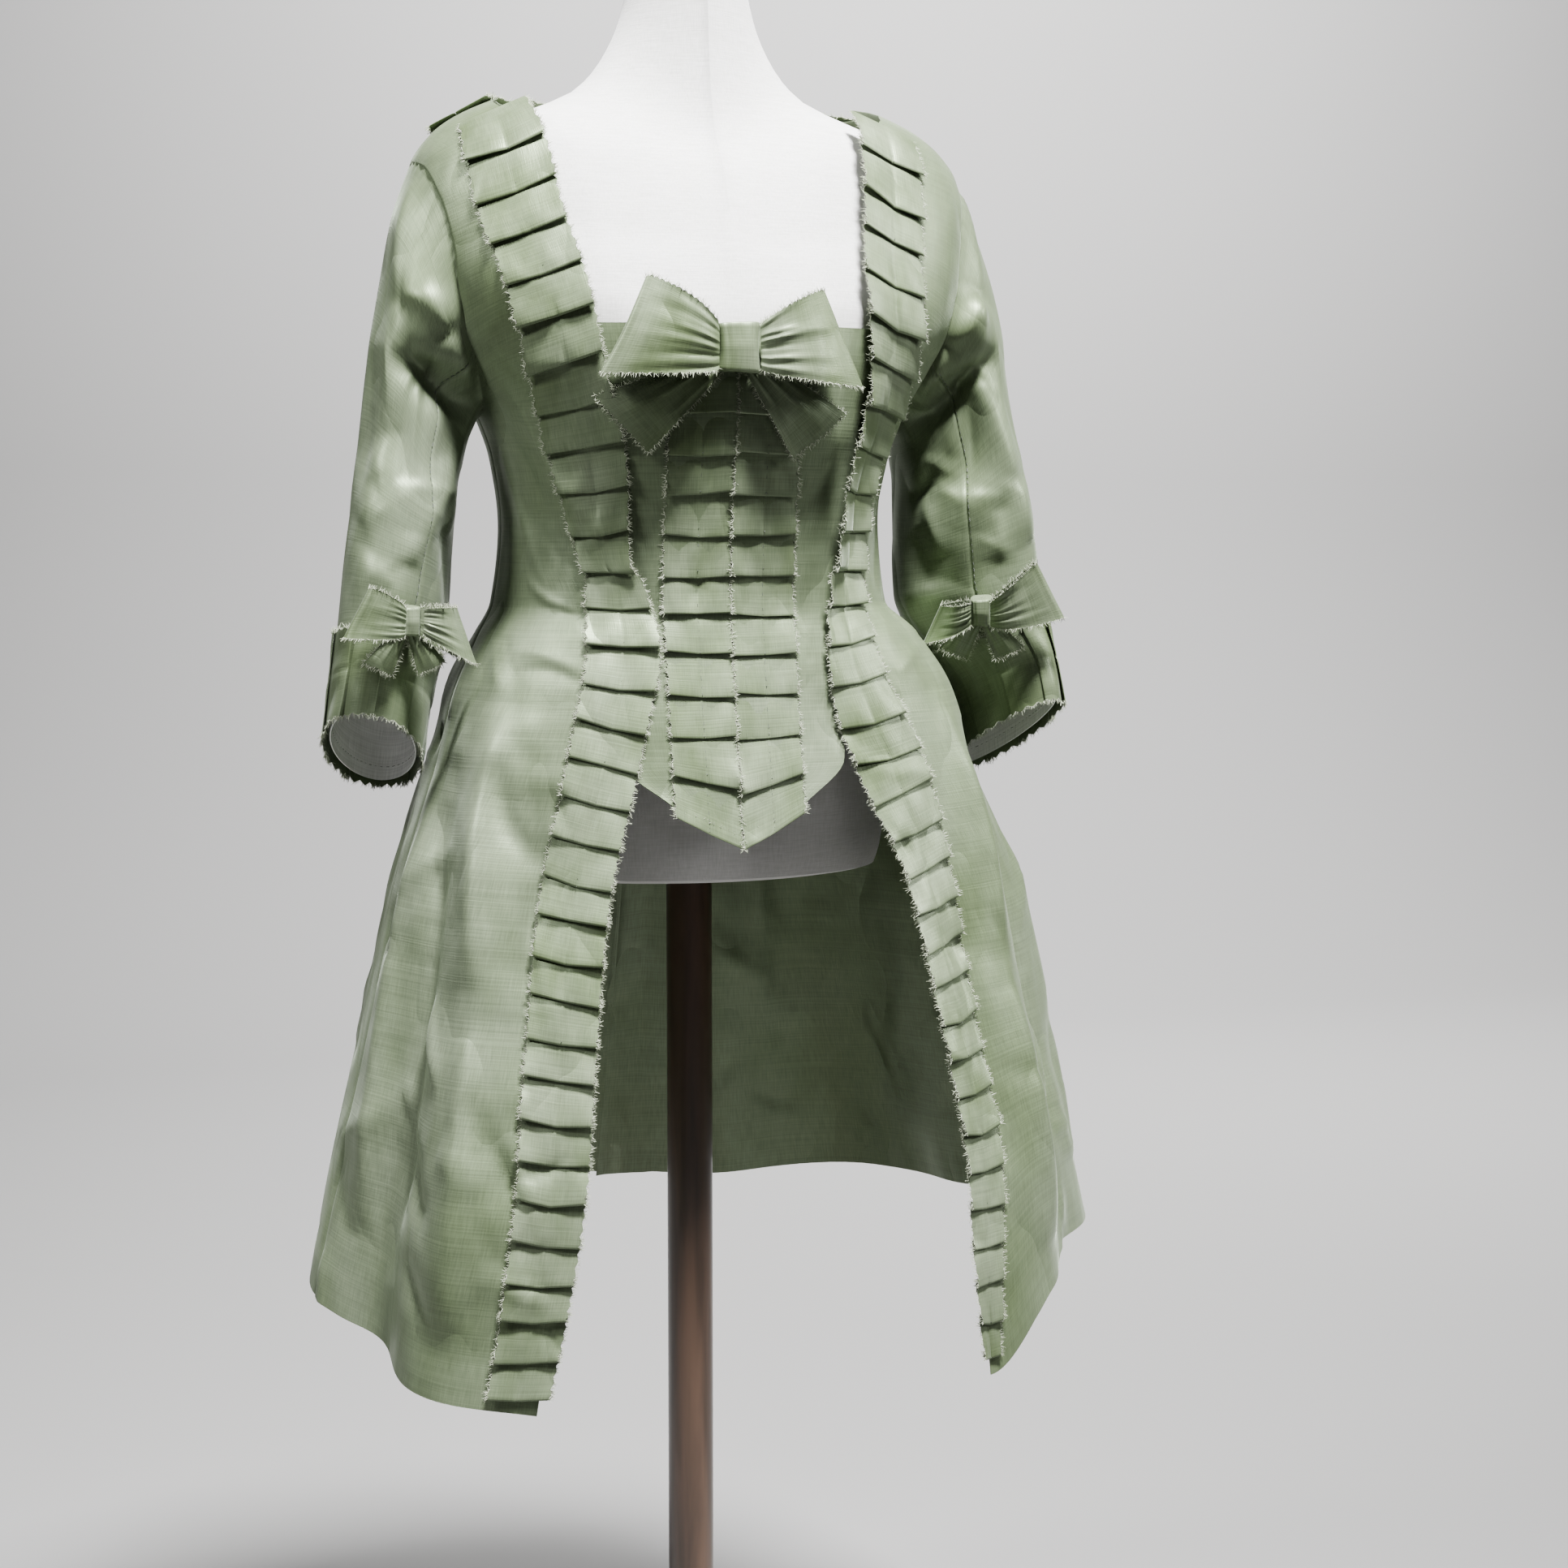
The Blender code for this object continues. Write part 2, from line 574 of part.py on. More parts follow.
def sleeve(sign, turn, along):
    """Points of a sleeve's inner face; turn is 0 outside, 90 in front, 180 at the body."""
    turn, along = np.broadcast_arrays(np.asarray(turn, float), np.asarray(along, float))
    sine, cosine = np.sin(np.radians(turn)), np.cos(np.radians(turn))
    size = {name: SLEEVES.at(along, name) for name in SLEEVES.columns}
    side = "left" if sign > 0 else "right"
    outer_x, inner_x = size[side + "_outer"], size[side + "_inner"]
    x = (outer_x + inner_x) / 2 + (outer_x - inner_x) / 2 * cosine
    z = (size["outer_z"] + size["inner_z"]) / 2 + (size["outer_z"] - size["inner_z"]) / 2 * cosine
    ring = np.stack([sign * (x + size["skew"] * sine), -size[side + "_depth"] * sine,
                     z + size["slant"] * sine], axis=-1)
    hole_angle, hole_level = armhole(turn, 0.0004)
    over = SET_IN_LIFT + UNDERARM_LIFT * np.clip(-cosine, 0, 1)
    start = lift(sign * hole_angle, hole_level, FORM_GAP + CLOTH + over)
    joined = (np.clip(along / 0.10, 0, 1) ** 0.6)[..., None]
    return start * (1 - joined) + ring * joined


def sleeve_wall(sign, turn, along, low, high):
    """Inner and outer faces of a sleeve layer between two distances from its surface."""
    around = sleeve(sign, turn + 1, along) - sleeve(sign, turn - 1, along)
    down = sleeve(sign, turn, along + 0.004) - sleeve(sign, turn, along - 0.004 * (along > 0.004))
    normal = np.cross(around, down) * sign
    normal /= np.linalg.norm(normal, axis=-1, keepdims=True)
    centre = sleeve(sign, turn, along)
    low = np.broadcast_to(low, centre.shape[:-1])[..., None]
    high = np.broadcast_to(high, centre.shape[:-1])[..., None]
    return centre + normal * low, centre + normal * high


def sleeve_piece(name, sign, first, last, columns):
    turn, along = np.meshgrid(np.linspace(first, last, columns), SLEEVE_RINGS)
    inner, outer = sleeve_wall(sign, turn, along, 0.0, CLOTH)
    solid(name, inner, outer, TAFFETA)


LINING_TOP = 0.80
LINING_WALL = 0.0010
LINING_GAP = 0.0009
CUFF_TOP = 0.80
CUFF_GAP = 0.0013
CUFF_BOTTOM = 1.035
CUFF_PLEATS = 10


def sleeve_lining(name, sign):
    turn, along = np.meshgrid(np.arange(0, 360, 20.0), [LINING_TOP, 0.90, 0.995])
    inner, outer = sleeve_wall(sign, turn, along, -LINING_GAP - LINING_WALL, -LINING_GAP)
    solid(name, inner, outer, LINING, round_columns=True)


def cuff_trim(name, sign):
    pleats, stand = pleat_rows(90.0, 450.0, CUFF_PLEATS, between=(0.5,))
    turn, along = np.meshgrid(pleats, np.linspace(CUFF_TOP, CUFF_BOTTOM, 4))
    stand = np.broadcast_to(stand, turn.shape)
    edge = np.abs(np.linspace(-1, 1, 4))[:, None]
    away = CLOTH + CUFF_GAP + stand * (0.0018 + 0.003 * edge)
    inner, outer = sleeve_wall(sign, turn, along, away, away + CLOTH)
    solid(name, inner, outer, TRIM, round_columns=True)


for side, sign in (("right", -1), ("left", 1)):
    gap = SLEEVE_SEAM_TURN
    sleeve_piece("sleeve_upper_" + side, sign, BACK_SEAM - 360 + gap, FRONT_SEAM - gap, 13)
    sleeve_piece("sleeve_under_" + side, sign, FRONT_SEAM + gap, BACK_SEAM - gap, 7)
    sleeve_lining("sleeve_lining_" + side, sign)
    cuff_trim("cuff_trim_" + side, sign)


# Bows. Each is laid out flat as across, up and away from what it is sewn on, and
# a surface function bends it round the body or the sleeve.
BOW_CENTRE = (CENTRE_X, 1.186)
BOW_BASE = FORM_GAP + 2 * CLOTH + STRIP_GAP + 0.0037


def on_chest(across, up, away):
    angle, level = place(BOW_CENTRE[0] + across, BOW_CENTRE[1] + up)
    return lift(angle, level, BOW_BASE + away)


def loop_path(length, puff, lowest, steps, turn_steps=3):
    """Along the front layer, round the fold at the end and back: across and away."""
    turn_radius = 0.0035
    out = np.linspace(0, 1, steps)
    front = np.stack([out * length, 2 * turn_radius + puff * np.sin(math.pi * out ** 0.8)], axis=1)
    bend = np.linspace(0, math.pi, turn_steps + 2)[1:-1]
    end = np.stack([length + turn_radius * np.sin(bend),
                    turn_radius + turn_radius * np.cos(bend)], axis=1)
    back = np.stack([out[::-1] * length, 0 * out], axis=1)
    back[-1, 0] = 0.004
    return np.concatenate([front, end, back]) + [0, lowest]


LOOP_LEAN = 0.45


def bow_loop(name, surface, start, direction, length, widths, tilt, puff, lowest=0.0058,
             steps=6, columns=5):
    """A strip folded back on itself, gathered at the knot and wide at its fold."""
    path = loop_path(length, puff, lowest, steps)
    share = np.linspace(-0.5, 0.5, columns)[None, :]
    reach = np.clip(path[:, 0] / length, 0, 1)[:, None]
    width = widths[0] + (widths[1] - widths[0]) * reach ** 0.7
    gather = 0.0009 * (1 - reach) * np.cos(4 * math.pi * share)
    up = share * width + tilt * reach * length
    across = start + path[:, :1] - LOOP_LEAN * width * reach * share
    away = path[:, 1:] + gather
    grid = surface(direction * across, up + 0 * across, away + 0 * across)
    if direction < 0:
        grid = grid[:, ::-1]
    wall(name, grid, TRIM, thickness=0.0012)


def bow_tail(name, surface, start, direction, drop, length, widths, steps=6, columns=5):
    """A strip hanging out and down from the knot, cut on the slant at its end."""
    reach = np.linspace(0, 1, steps)[:, None]
    share = np.linspace(-0.5, 0.5, columns)[None, :]
    lean = math.atan2(drop, 1.0)
    width = widths[0] + (widths[1] - widths[0]) * reach
    along = start + reach * length * (1 + 0.10 * share * reach)
    across = along * math.cos(lean) + share * width * math.sin(lean)
    up = -along * math.sin(lean) + share * width * math.cos(lean)
    ripple = 0.0014 * np.sin(2.0 * math.pi * share + 0.8) * reach + 0.0016
    grid = surface(direction * across, up, ripple + 0 * across)
    if direction < 0:
        grid = grid[:, ::-1]
    wall(name, grid, TRIM, thickness=0.0012)


def bow_knot(name, surface, half_width, half_height, depth, sink=0.0, columns=8):
    """The band pulled round the middle of a bow: a flat bead with round sides."""
    rows = np.linspace(-1, 1, 5)
    turns = np.linspace(0, 2 * math.pi, columns, endpoint=False)
    points, faces = [], []
    for row in rows:
        pinch = 1 - 0.10 * (1 - row * row)
        for turn in turns:
            across = half_width * pinch * math.cos(turn)
            away = (depth + sink) * 0.5 * (1 + math.sin(turn)) * (1 - 0.10 * abs(row)) - sink
            points.append(surface(np.array(across), np.array(row * half_height), np.array(away)))
    for i in range(len(rows) - 1):
        for j in range(columns):
            k = (j + 1) % columns
            a, b, c, d = i * columns + j, i * columns + k, (i + 1) * columns + k, (i + 1) * columns + j
            faces += [[a, b, c], [a, c, d]]
    last = (len(rows) - 1) * columns
    faces.append(list(range(columns))[::-1])
    faces.append([last + j for j in range(columns)])
    mesh_object(name, points, faces, TRIM)


bow_knot("bow_knot", on_chest, 0.0165, 0.0165, 0.0160, 0.0018)
for side, sign, tilt in (("right", -1, 0.26), ("left", 1, 0.14)):
    bow_loop("bow_loop_" + side, on_chest, 0.0172, sign, 0.058, (0.030, 0.060), tilt, 0.011)
    bow_tail("bow_tail_" + side, on_chest, 0.0245, sign, 0.62, 0.056, (0.016, 0.050))


# The cuff bows: where the knot sits round and along the sleeve, and the length,
# width at the fold and rise of the loop nearer to the body and of the outer one.
CUFF_BOWS = Table(
    "side turn along inner_length inner_width inner_rise outer_length outer_width outer_rise",
    [
        (-1, 106, 0.755, 0.034, 0.042, -0.30, 0.030, 0.036, 0.20),
        (1, 120, 0.725, 0.026, 0.030, -0.30, 0.042, 0.046, 0.35),
    ],
)
CUFF_BOW_BASE = 2 * CLOTH + CUFF_GAP + 0.0068
CUFF_BOW_SINK = CUFF_BOW_BASE - CLOTH - 0.0002
CUFF_BOW_BEND = 0.12


def on_sleeve(sign):
    """A gently bent sheet that touches the sleeve at the knot of its bow."""
    turn, along = CUFF_BOWS.at(sign, "turn"), CUFF_BOWS.at(sign, "along")
    knot, above = sleeve_wall(sign, turn, along, 0.0, 1.0)
    facing = above - knot
    upward = np.array([0, 0, 1]) - facing * facing[2]
    upward /= np.linalg.norm(upward)
    sideways = np.cross(upward, facing)

    def surface(across, up, away):
        across, up, away = np.broadcast_arrays(across, up, away)
        outward = np.maximum(sign * across, 0)
        out = CUFF_BOW_BASE + away - outward ** 2 / (2 * CUFF_BOW_BEND)
        return (knot + across[..., None] * sideways + up[..., None] * upward
                + out[..., None] * facing)
    return surface


for side, sign in (("right", -1), ("left", 1)):
    cuff = on_sleeve(sign)
    bow_knot("cuff_bow_knot_" + side, cuff, 0.0085, 0.0105, 0.0105, CUFF_BOW_SINK)
    for end, direction in (("outer", sign), ("inner", -sign)):
        size = {name: CUFF_BOWS.at(sign, end + "_" + name) for name in ("length", "width", "rise")}
        bow_loop("cuff_bow_loop_%s_%s" % (end, side), cuff, 0.0092, direction, size["length"],
                 (0.018, size["width"]), size["rise"], 0.007, 0.0043, steps=5, columns=4)
        bow_tail("cuff_bow_tail_%s_%s" % (end, side), cuff, 0.0138, direction, 1.6, 0.028,
                 (0.012, 0.024), steps=5, columns=4)


# The dress form: the body surface itself down to the waist, then its own hips
FORM_HIPS = Table(
    "level half_width front back",
    [
        (0.780, 0.128, 0.090, 0.088),
        (0.784, 0.150, 0.106, 0.100),
        (0.830, 0.158, 0.110, 0.104),
        (0.880, 0.160, 0.113, 0.104),
        (0.940, 0.155, 0.114, 0.098),
        (0.975, 0.150, 0.116, 0.095),
    ],
)
FORM_COLUMNS = 30
FORM_LEVELS = [0.990, 1.015, 1.050, 1.085, 1.115, 1.145, 1.175, 1.205, 1.235, 1.265, 1.292,
               1.312, 1.328, 1.341, 1.352, 1.362, 1.372, 1.382, 1.396, 1.415, 1.440, 1.470, 1.494]
POLE_RADIUS = 0.018
POLE_TOP = 0.7797
BASE_RADIUS = 0.190
BASE_HEIGHT = 0.030


def closed_rings(name, rings, finish):
    count = len(rings[0])
    points = np.concatenate(rings)
    faces = []
    for i in range(len(rings) - 1):
        for j in range(count):
            k = (j + 1) % count
            a, b, c, d = i * count + j, i * count + k, (i + 1) * count + k, (i + 1) * count + j
            faces += [[a, b, c], [a, c, d]]
    last = (len(rings) - 1) * count
    faces.append(list(range(count))[::-1])
    faces.append([last + j for j in range(count)])
    return mesh_object(name, points, faces, finish)


def circle(radius, z, count):
    turns = np.linspace(0, 2 * math.pi, count, endpoint=False)
    return np.stack([radius * np.cos(turns), radius * np.sin(turns), 0 * turns + z], axis=1)


def form_torso():
    angles = np.linspace(-180, 180, FORM_COLUMNS, endpoint=False)
    rings = []
    for level in FORM_HIPS.keys:
        width = FORM_HIPS.at(level, "half_width")
        depth = np.where(np.cos(np.radians(angles)) > 0, FORM_HIPS.at(level, "front"),
                         FORM_HIPS.at(level, "back"))
        x = width * np.sin(np.radians(angles))
        y = -depth * np.cos(np.radians(angles))
        rings.append(np.stack([x, y, 0 * x + level], axis=1))
    for level in FORM_LEVELS:
        shoulder = FORM_SHOULDER_INSET * min(max((level - 1.22) / 0.06, 0), 1)
        behind = np.cos(np.radians(angles)) < -0.2
        aside = np.maximum(np.abs(np.sin(np.radians(angles))) ** 0.5, 0.9 * behind)
        inset = FORM_INSET + (FORM_SIDE_INSET + shoulder) * aside
        rings.append(lift(angles, level, -inset))
    top = rings[-1]
    rings.append(top * [0.80, 0.80, 1.0] + [0, 0, 0.006])
    closed_rings("form_torso", rings, FORM)


form_torso()
closed_rings("form_pole", [circle(POLE_RADIUS, z, 16) for z in (BASE_HEIGHT + SEAM_GAP, POLE_TOP)], WOOD)
closed_rings("form_base", [circle(BASE_RADIUS, 0, 32), circle(BASE_RADIUS, 0.012, 32),
                           circle(0.168, 0.022, 32), circle(0.040, BASE_HEIGHT, 32)], WOOD)
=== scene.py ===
"""A caraco jacket of green silk taffeta, with its stomacher, on a dress form."""
import math

import bpy
import numpy as np
from mathutils import Matrix, Vector


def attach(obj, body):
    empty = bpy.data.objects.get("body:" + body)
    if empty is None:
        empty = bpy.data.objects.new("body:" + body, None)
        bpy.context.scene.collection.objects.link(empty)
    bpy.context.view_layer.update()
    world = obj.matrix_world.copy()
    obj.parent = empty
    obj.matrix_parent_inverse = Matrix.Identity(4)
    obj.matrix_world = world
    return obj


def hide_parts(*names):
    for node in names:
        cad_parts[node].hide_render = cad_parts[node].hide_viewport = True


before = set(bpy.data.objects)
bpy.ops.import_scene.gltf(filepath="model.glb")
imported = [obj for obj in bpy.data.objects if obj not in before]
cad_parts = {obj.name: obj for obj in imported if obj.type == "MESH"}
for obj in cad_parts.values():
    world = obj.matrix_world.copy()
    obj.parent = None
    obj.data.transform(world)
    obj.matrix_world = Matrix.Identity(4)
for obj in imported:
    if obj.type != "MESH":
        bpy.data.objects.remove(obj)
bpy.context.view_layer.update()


# The view and the light. The camera stands a little to the wearer's right at chest
# height. One strong panel lights the jacket from overhead, weak ones fill in from
# the front and both sides, and a plain pale sweep lies under and behind it.
VIEW_TURN = math.radians(18.0)
VIEW_PITCH = math.radians(5.2)
VIEW_DISTANCE, VIEW_HEIGHT, VIEW_ASIDE = 2.12, 1.04, 0.075

to_right = Vector((math.cos(VIEW_TURN), -math.sin(VIEW_TURN), 0))
level_ahead = Vector((math.sin(VIEW_TURN), math.cos(VIEW_TURN), 0))
ahead = level_ahead * math.cos(VIEW_PITCH) - Vector((0, 0, math.sin(VIEW_PITCH)))
camera = bpy.data.objects.new("camera", bpy.data.cameras.new("camera"))
bpy.context.scene.collection.objects.link(camera)
camera.matrix_world = Matrix((to_right, to_right.cross(ahead), -ahead)).transposed().to_4x4()
camera.location = (to_right * VIEW_ASIDE - level_ahead * VIEW_DISTANCE
                   + Vector((0, 0, VIEW_HEIGHT)))
SENSOR_MM, LENS_MM = 36.0, 62.1
camera.data.sensor_width, camera.data.lens = SENSOR_MM, LENS_MM
bpy.context.scene.camera = camera

LIGHTS = [  # name, place, aim, size, strength, spread in degrees
    ("light_key", (0.3, -1.2, 3.9), (0.0, 0.0, 0.95), 0.5, 185, 75),
    ("light_front", (0.0, -3.2, 2.3), (0.0, 0.0, 1.1), 1.0, 2, 100),
    ("light_left", (-2.3, -0.7, 2.8), (0.0, 0.0, 1.0), 0.6, 20, 75),
    ("light_right", (2.4, -0.9, 2.2), (0.0, 0.0, 0.8), 0.7, 14, 75),
    ("light_back", (1.7, 2.2, 3.2), (2.0, 4.4, 1.3), 2.4, 860, 180),
]
for light_name, place_at, aim, size, strength, spread in LIGHTS:
    lamp = bpy.data.lights.new(light_name, "AREA")
    lamp.size, lamp.energy = size, strength
    lamp.spread = math.radians(spread)
    light = bpy.data.objects.new(light_name, lamp)
    light.location = place_at
    light.rotation_euler = (Vector(aim) - Vector(place_at)).to_track_quat("-Z", "Y").to_euler()
    bpy.context.scene.collection.objects.link(light)
sky = bpy.data.worlds.new("sky")
sky.use_nodes = True
SKY_COLOUR, SKY_STRENGTH = (0.90, 0.91, 0.93, 1), 0.015
sky_light = sky.node_tree.nodes["Background"]
sky_light.inputs["Color"].default_value = SKY_COLOUR
sky_light.inputs["Strength"].default_value = SKY_STRENGTH
bpy.context.scene.world = sky

SWEEP_FRONT, SWEEP_WALL, SWEEP_TOP, SWEEP_HALF_WIDTH, SWEEP_BEND = -4.5, 4.5, 6.0, 8, 1.2
sweep_line = [(SWEEP_FRONT, 0.0)]
sweep_line += [(SWEEP_WALL + SWEEP_BEND * (math.sin(t) - 1), SWEEP_BEND * (1 - math.cos(t)))
               for t in np.linspace(0, math.pi / 2, 16)]
sweep_line += [(SWEEP_WALL, SWEEP_TOP)]
sweep_mesh = bpy.data.meshes.new("sweep")
sweep_mesh.from_pydata(
    [(x, y, z) for y, z in sweep_line for x in (-SWEEP_HALF_WIDTH, SWEEP_HALF_WIDTH)], [],
    [(2 * i, 2 * i + 1, 2 * i + 3, 2 * i + 2) for i in range(len(sweep_line) - 1)])
sweep_mesh.shade_smooth()
sweep = bpy.data.objects.new("sweep", sweep_mesh)
bpy.context.scene.collection.objects.link(sweep)


def fill(tree, node, inputs):
    """Sets a node's inputs to values, or joins them to other nodes or their outputs."""
    for name, value in inputs.items():
        if isinstance(value, bpy.types.Node):
            value = next(output for output in value.outputs if output.enabled)
        if isinstance(value, bpy.types.NodeSocket):
            tree.links.new(value, node.inputs[name])
        else:
            node.inputs[name].default_value = value


def adder(tree):
    """A short way to add a node to a tree: its kind, its inputs and its settings."""
    def add(kind, inputs={}, **settings):
        node = tree.nodes.new(kind)
        for name, value in settings.items():
            setattr(node, name, value)
        fill(tree, node, inputs)
        return node
    return add


def new_finish(name):
    """A material, a way to add nodes to it and a way to set its shader's inputs."""
    finish = bpy.data.materials.new(name)
    finish.use_nodes = True
    tree = finish.node_tree
    return finish, adder(tree), lambda inputs: fill(tree, tree.nodes["Principled BSDF"], inputs)


paper, _, set_shader = new_finish("pale sweep")
set_shader({"Base Color": (0.175, 0.173, 0.171, 1), "Roughness": 0.9})
sweep_mesh.materials.append(paper)


# The fronts and backs: four panels of changeable silk taffeta, bodice and flared
# skirt cut in one, seamed at the sides and the centre back. The skirt stands out
# in stiff folds, and the cloth keeps soft dents and creases from wearing.
class Table:
    """A short table of sizes, read between its rows along a smooth curve."""

    def __init__(self, columns, rows, unit=1.0):
        values = np.array(rows, dtype=float) * unit
        values = values[np.argsort(values[:, 0])]
        self.keys = values[:, 0]
        self.columns = {name: values[:, i] for i, name in enumerate(columns.split())}

    def slopes(self, values):
        steps = np.diff(self.keys)
        rises = np.diff(values) / steps
        slopes = np.concatenate([rises[:1], np.zeros(len(values) - 2), rises[-1:]])
        for i in range(1, len(values) - 1):
            before, after = rises[i - 1], rises[i]
            if before * after > 0:
                weight = (2 * steps[i] + steps[i - 1]) / before + (steps[i] + 2 * steps[i - 1]) / after
                slopes[i] = 3 * (steps[i] + steps[i - 1]) / weight
        return slopes

    def at(self, key, name):
        values = self.columns[name]
        slopes = self.slopes(values)
        key = np.clip(key, self.keys[0], self.keys[-1])
        i = np.clip(np.searchsorted(self.keys, key) - 1, 0, len(self.keys) - 2)
        step = self.keys[i + 1] - self.keys[i]
        t = (key - self.keys[i]) / step
        return (values[i] * (1 + 2 * t) * (1 - t) ** 2 + slopes[i] * step * t * (1 - t) ** 2
                + values[i + 1] * t * t * (3 - 2 * t) - slopes[i + 1] * step * t * t * (1 - t))


CLOTH = 0.0015
SILK = 0.0006
FORM_GAP = 0.0005
LAYER_GAP = 0.0013

BODY = Table("level front_z back_z right left front back square", [  # in thousandths
    (420, 402, 430, 290, 335, 210, 305, 2300), (527, 517, 530, 274, 314, 203, 270, 2300),
    (650, 645, 650, 250, 287, 185, 232, 2300), (760, 760, 760, 227, 262, 162, 200, 2300),
    (860, 860, 860, 200, 226, 142, 170, 2450), (925, 925, 925, 183, 206, 130, 140, 2450),
    (965, 965, 965, 165, 178, 123, 112, 2350), (990, 990, 990, 153, 153, 120, 99, 2200),
    (1050, 1050, 1050, 146, 146, 125, 98, 2200), (1100, 1098, 1100, 152, 152, 134, 102, 2250),
    (1135, 1130, 1135, 164, 164, 140, 106, 2300), (1170, 1163, 1170, 184, 184, 143, 109, 2400),
    (1200, 1190, 1200, 201, 201, 142, 110, 2500), (1250, 1233, 1248, 213, 213, 133, 110, 2600),
    (1290, 1265, 1285, 216, 216, 121, 104, 2550), (1318, 1286, 1312, 211, 211, 112, 98, 2450),
    (1340, 1302, 1331, 196, 196, 104, 91, 2350), (1352, 1311, 1341, 180, 180, 99, 86, 2300),
    (1363, 1320, 1350, 157, 157, 93, 81, 2250), (1374, 1330, 1360, 129, 129, 85, 75, 2200),
    (1388, 1346, 1374, 98, 98, 75, 68, 2100), (1410, 1376, 1402, 78, 78, 66, 62, 2000),
    (1440, 1425, 1436, 64, 64, 60, 58, 2000), (1470, 1462, 1468, 58, 58, 58, 57, 2000),
    (1500, 1500, 1500, 57, 57, 57, 57, 2000)], unit=0.001)
HEM = Table("angle level", [
    (-180, 0.460), (-100, 0.468), (-80, 0.452), (-62, 0.430), (-30, 0.424), (30, 0.422),
    (44, 0.424), (56, 0.470), (70, 0.488), (100, 0.480), (180, 0.455)])
HEM_LEVEL = 0.420
HEM_RISE_TOP = 0.70

# The skirt's standing folds: angle at the top and at the hem, half width in
# degrees, depth at the hem and the level where the fold starts
FOLDS = [
    (-62, -56, 9, 0.012, 0.93), (-80, -74, 7, -0.020, 0.80), (-100, -93, 10, 0.016, 0.93),
    (-128, -118, 8, -0.024, 0.93), (-146, -140, 9, 0.018, 0.93), (-164, -160, 8, -0.022, 0.93),
    (178, 180, 9, 0.016, 0.93), (160, 158, 8, -0.022, 0.93), (142, 138, 9, 0.018, 0.93),
    (122, 114, 8, -0.022, 0.93), (98, 92, 10, 0.016, 0.93), (74, 68, 8, -0.018, 0.80),
    (60, 54, 8, 0.008, 0.90)]


def fold_depth(angle, level):
    depth = np.zeros(np.broadcast(angle, level).shape)
    for top_angle, hem_angle, half_width, deep, top in FOLDS:
        fall = np.clip((top - level) / (top - HEM_LEVEL), 0, 1)
        away = (angle - top_angle - (hem_angle - top_angle) * fall + 180) % 360 - 180
        depth = depth + deep * fall ** 1.2 * np.exp(-(away / half_width) ** 2)
    return depth


def ring_radius(angle, level):
    sine, cosine = np.sin(np.radians(angle)), np.cos(np.radians(angle))
    width = np.where(sine > 0, BODY.at(level, "left"), BODY.at(level, "right"))
    depth = np.where(cosine > 0, BODY.at(level, "front"), BODY.at(level, "back"))
    power = BODY.at(level, "square")
    oval = (np.abs(sine / width) ** power + np.abs(cosine / depth) ** power) ** (-1 / power)
    return oval + fold_depth(angle, level)


def ring_height(angle, level):
    cosine = np.cos(np.radians(angle))
    middle = np.where(cosine > 0, BODY.at(level, "front_z"), BODY.at(level, "back_z"))
    return level + (middle - level) * cosine ** 2


def body(angle, level):
    """Points of the body surface; the angle is 0 at the front and +90 at the left."""
    angle, level = np.broadcast_arrays(np.asarray(angle, float), np.asarray(level, float))
    radius = ring_radius(angle, level)
    return np.stack([radius * np.sin(np.radians(angle)), -radius * np.cos(np.radians(angle)),
                     ring_height(angle, level)], axis=-1)


def halve(low, high, beyond, steps=30):
    """The value between low and high at which the test starts to hold."""
    for _ in range(steps):
        middle = (low + high) / 2
        over = beyond(middle)
        high, low = np.where(over, middle, high), np.where(over, low, middle)
    return middle


def angle_at(x, level):
    return np.sign(x) * halve(np.zeros_like(x), np.full_like(x, 90.0), lambda angle: ring_radius(
        np.sign(x) * angle, level) * np.sin(np.radians(angle)) > np.abs(x))


def place(x, z):
    """The angle and level of the front point at this x and height."""
    x, z = np.broadcast_arrays(np.asarray(x, float), np.asarray(z, float))
    level = halve(z - 0.03, z + 0.12, lambda level: ring_height(angle_at(x, level), level) > z)
    return angle_at(x, level), level


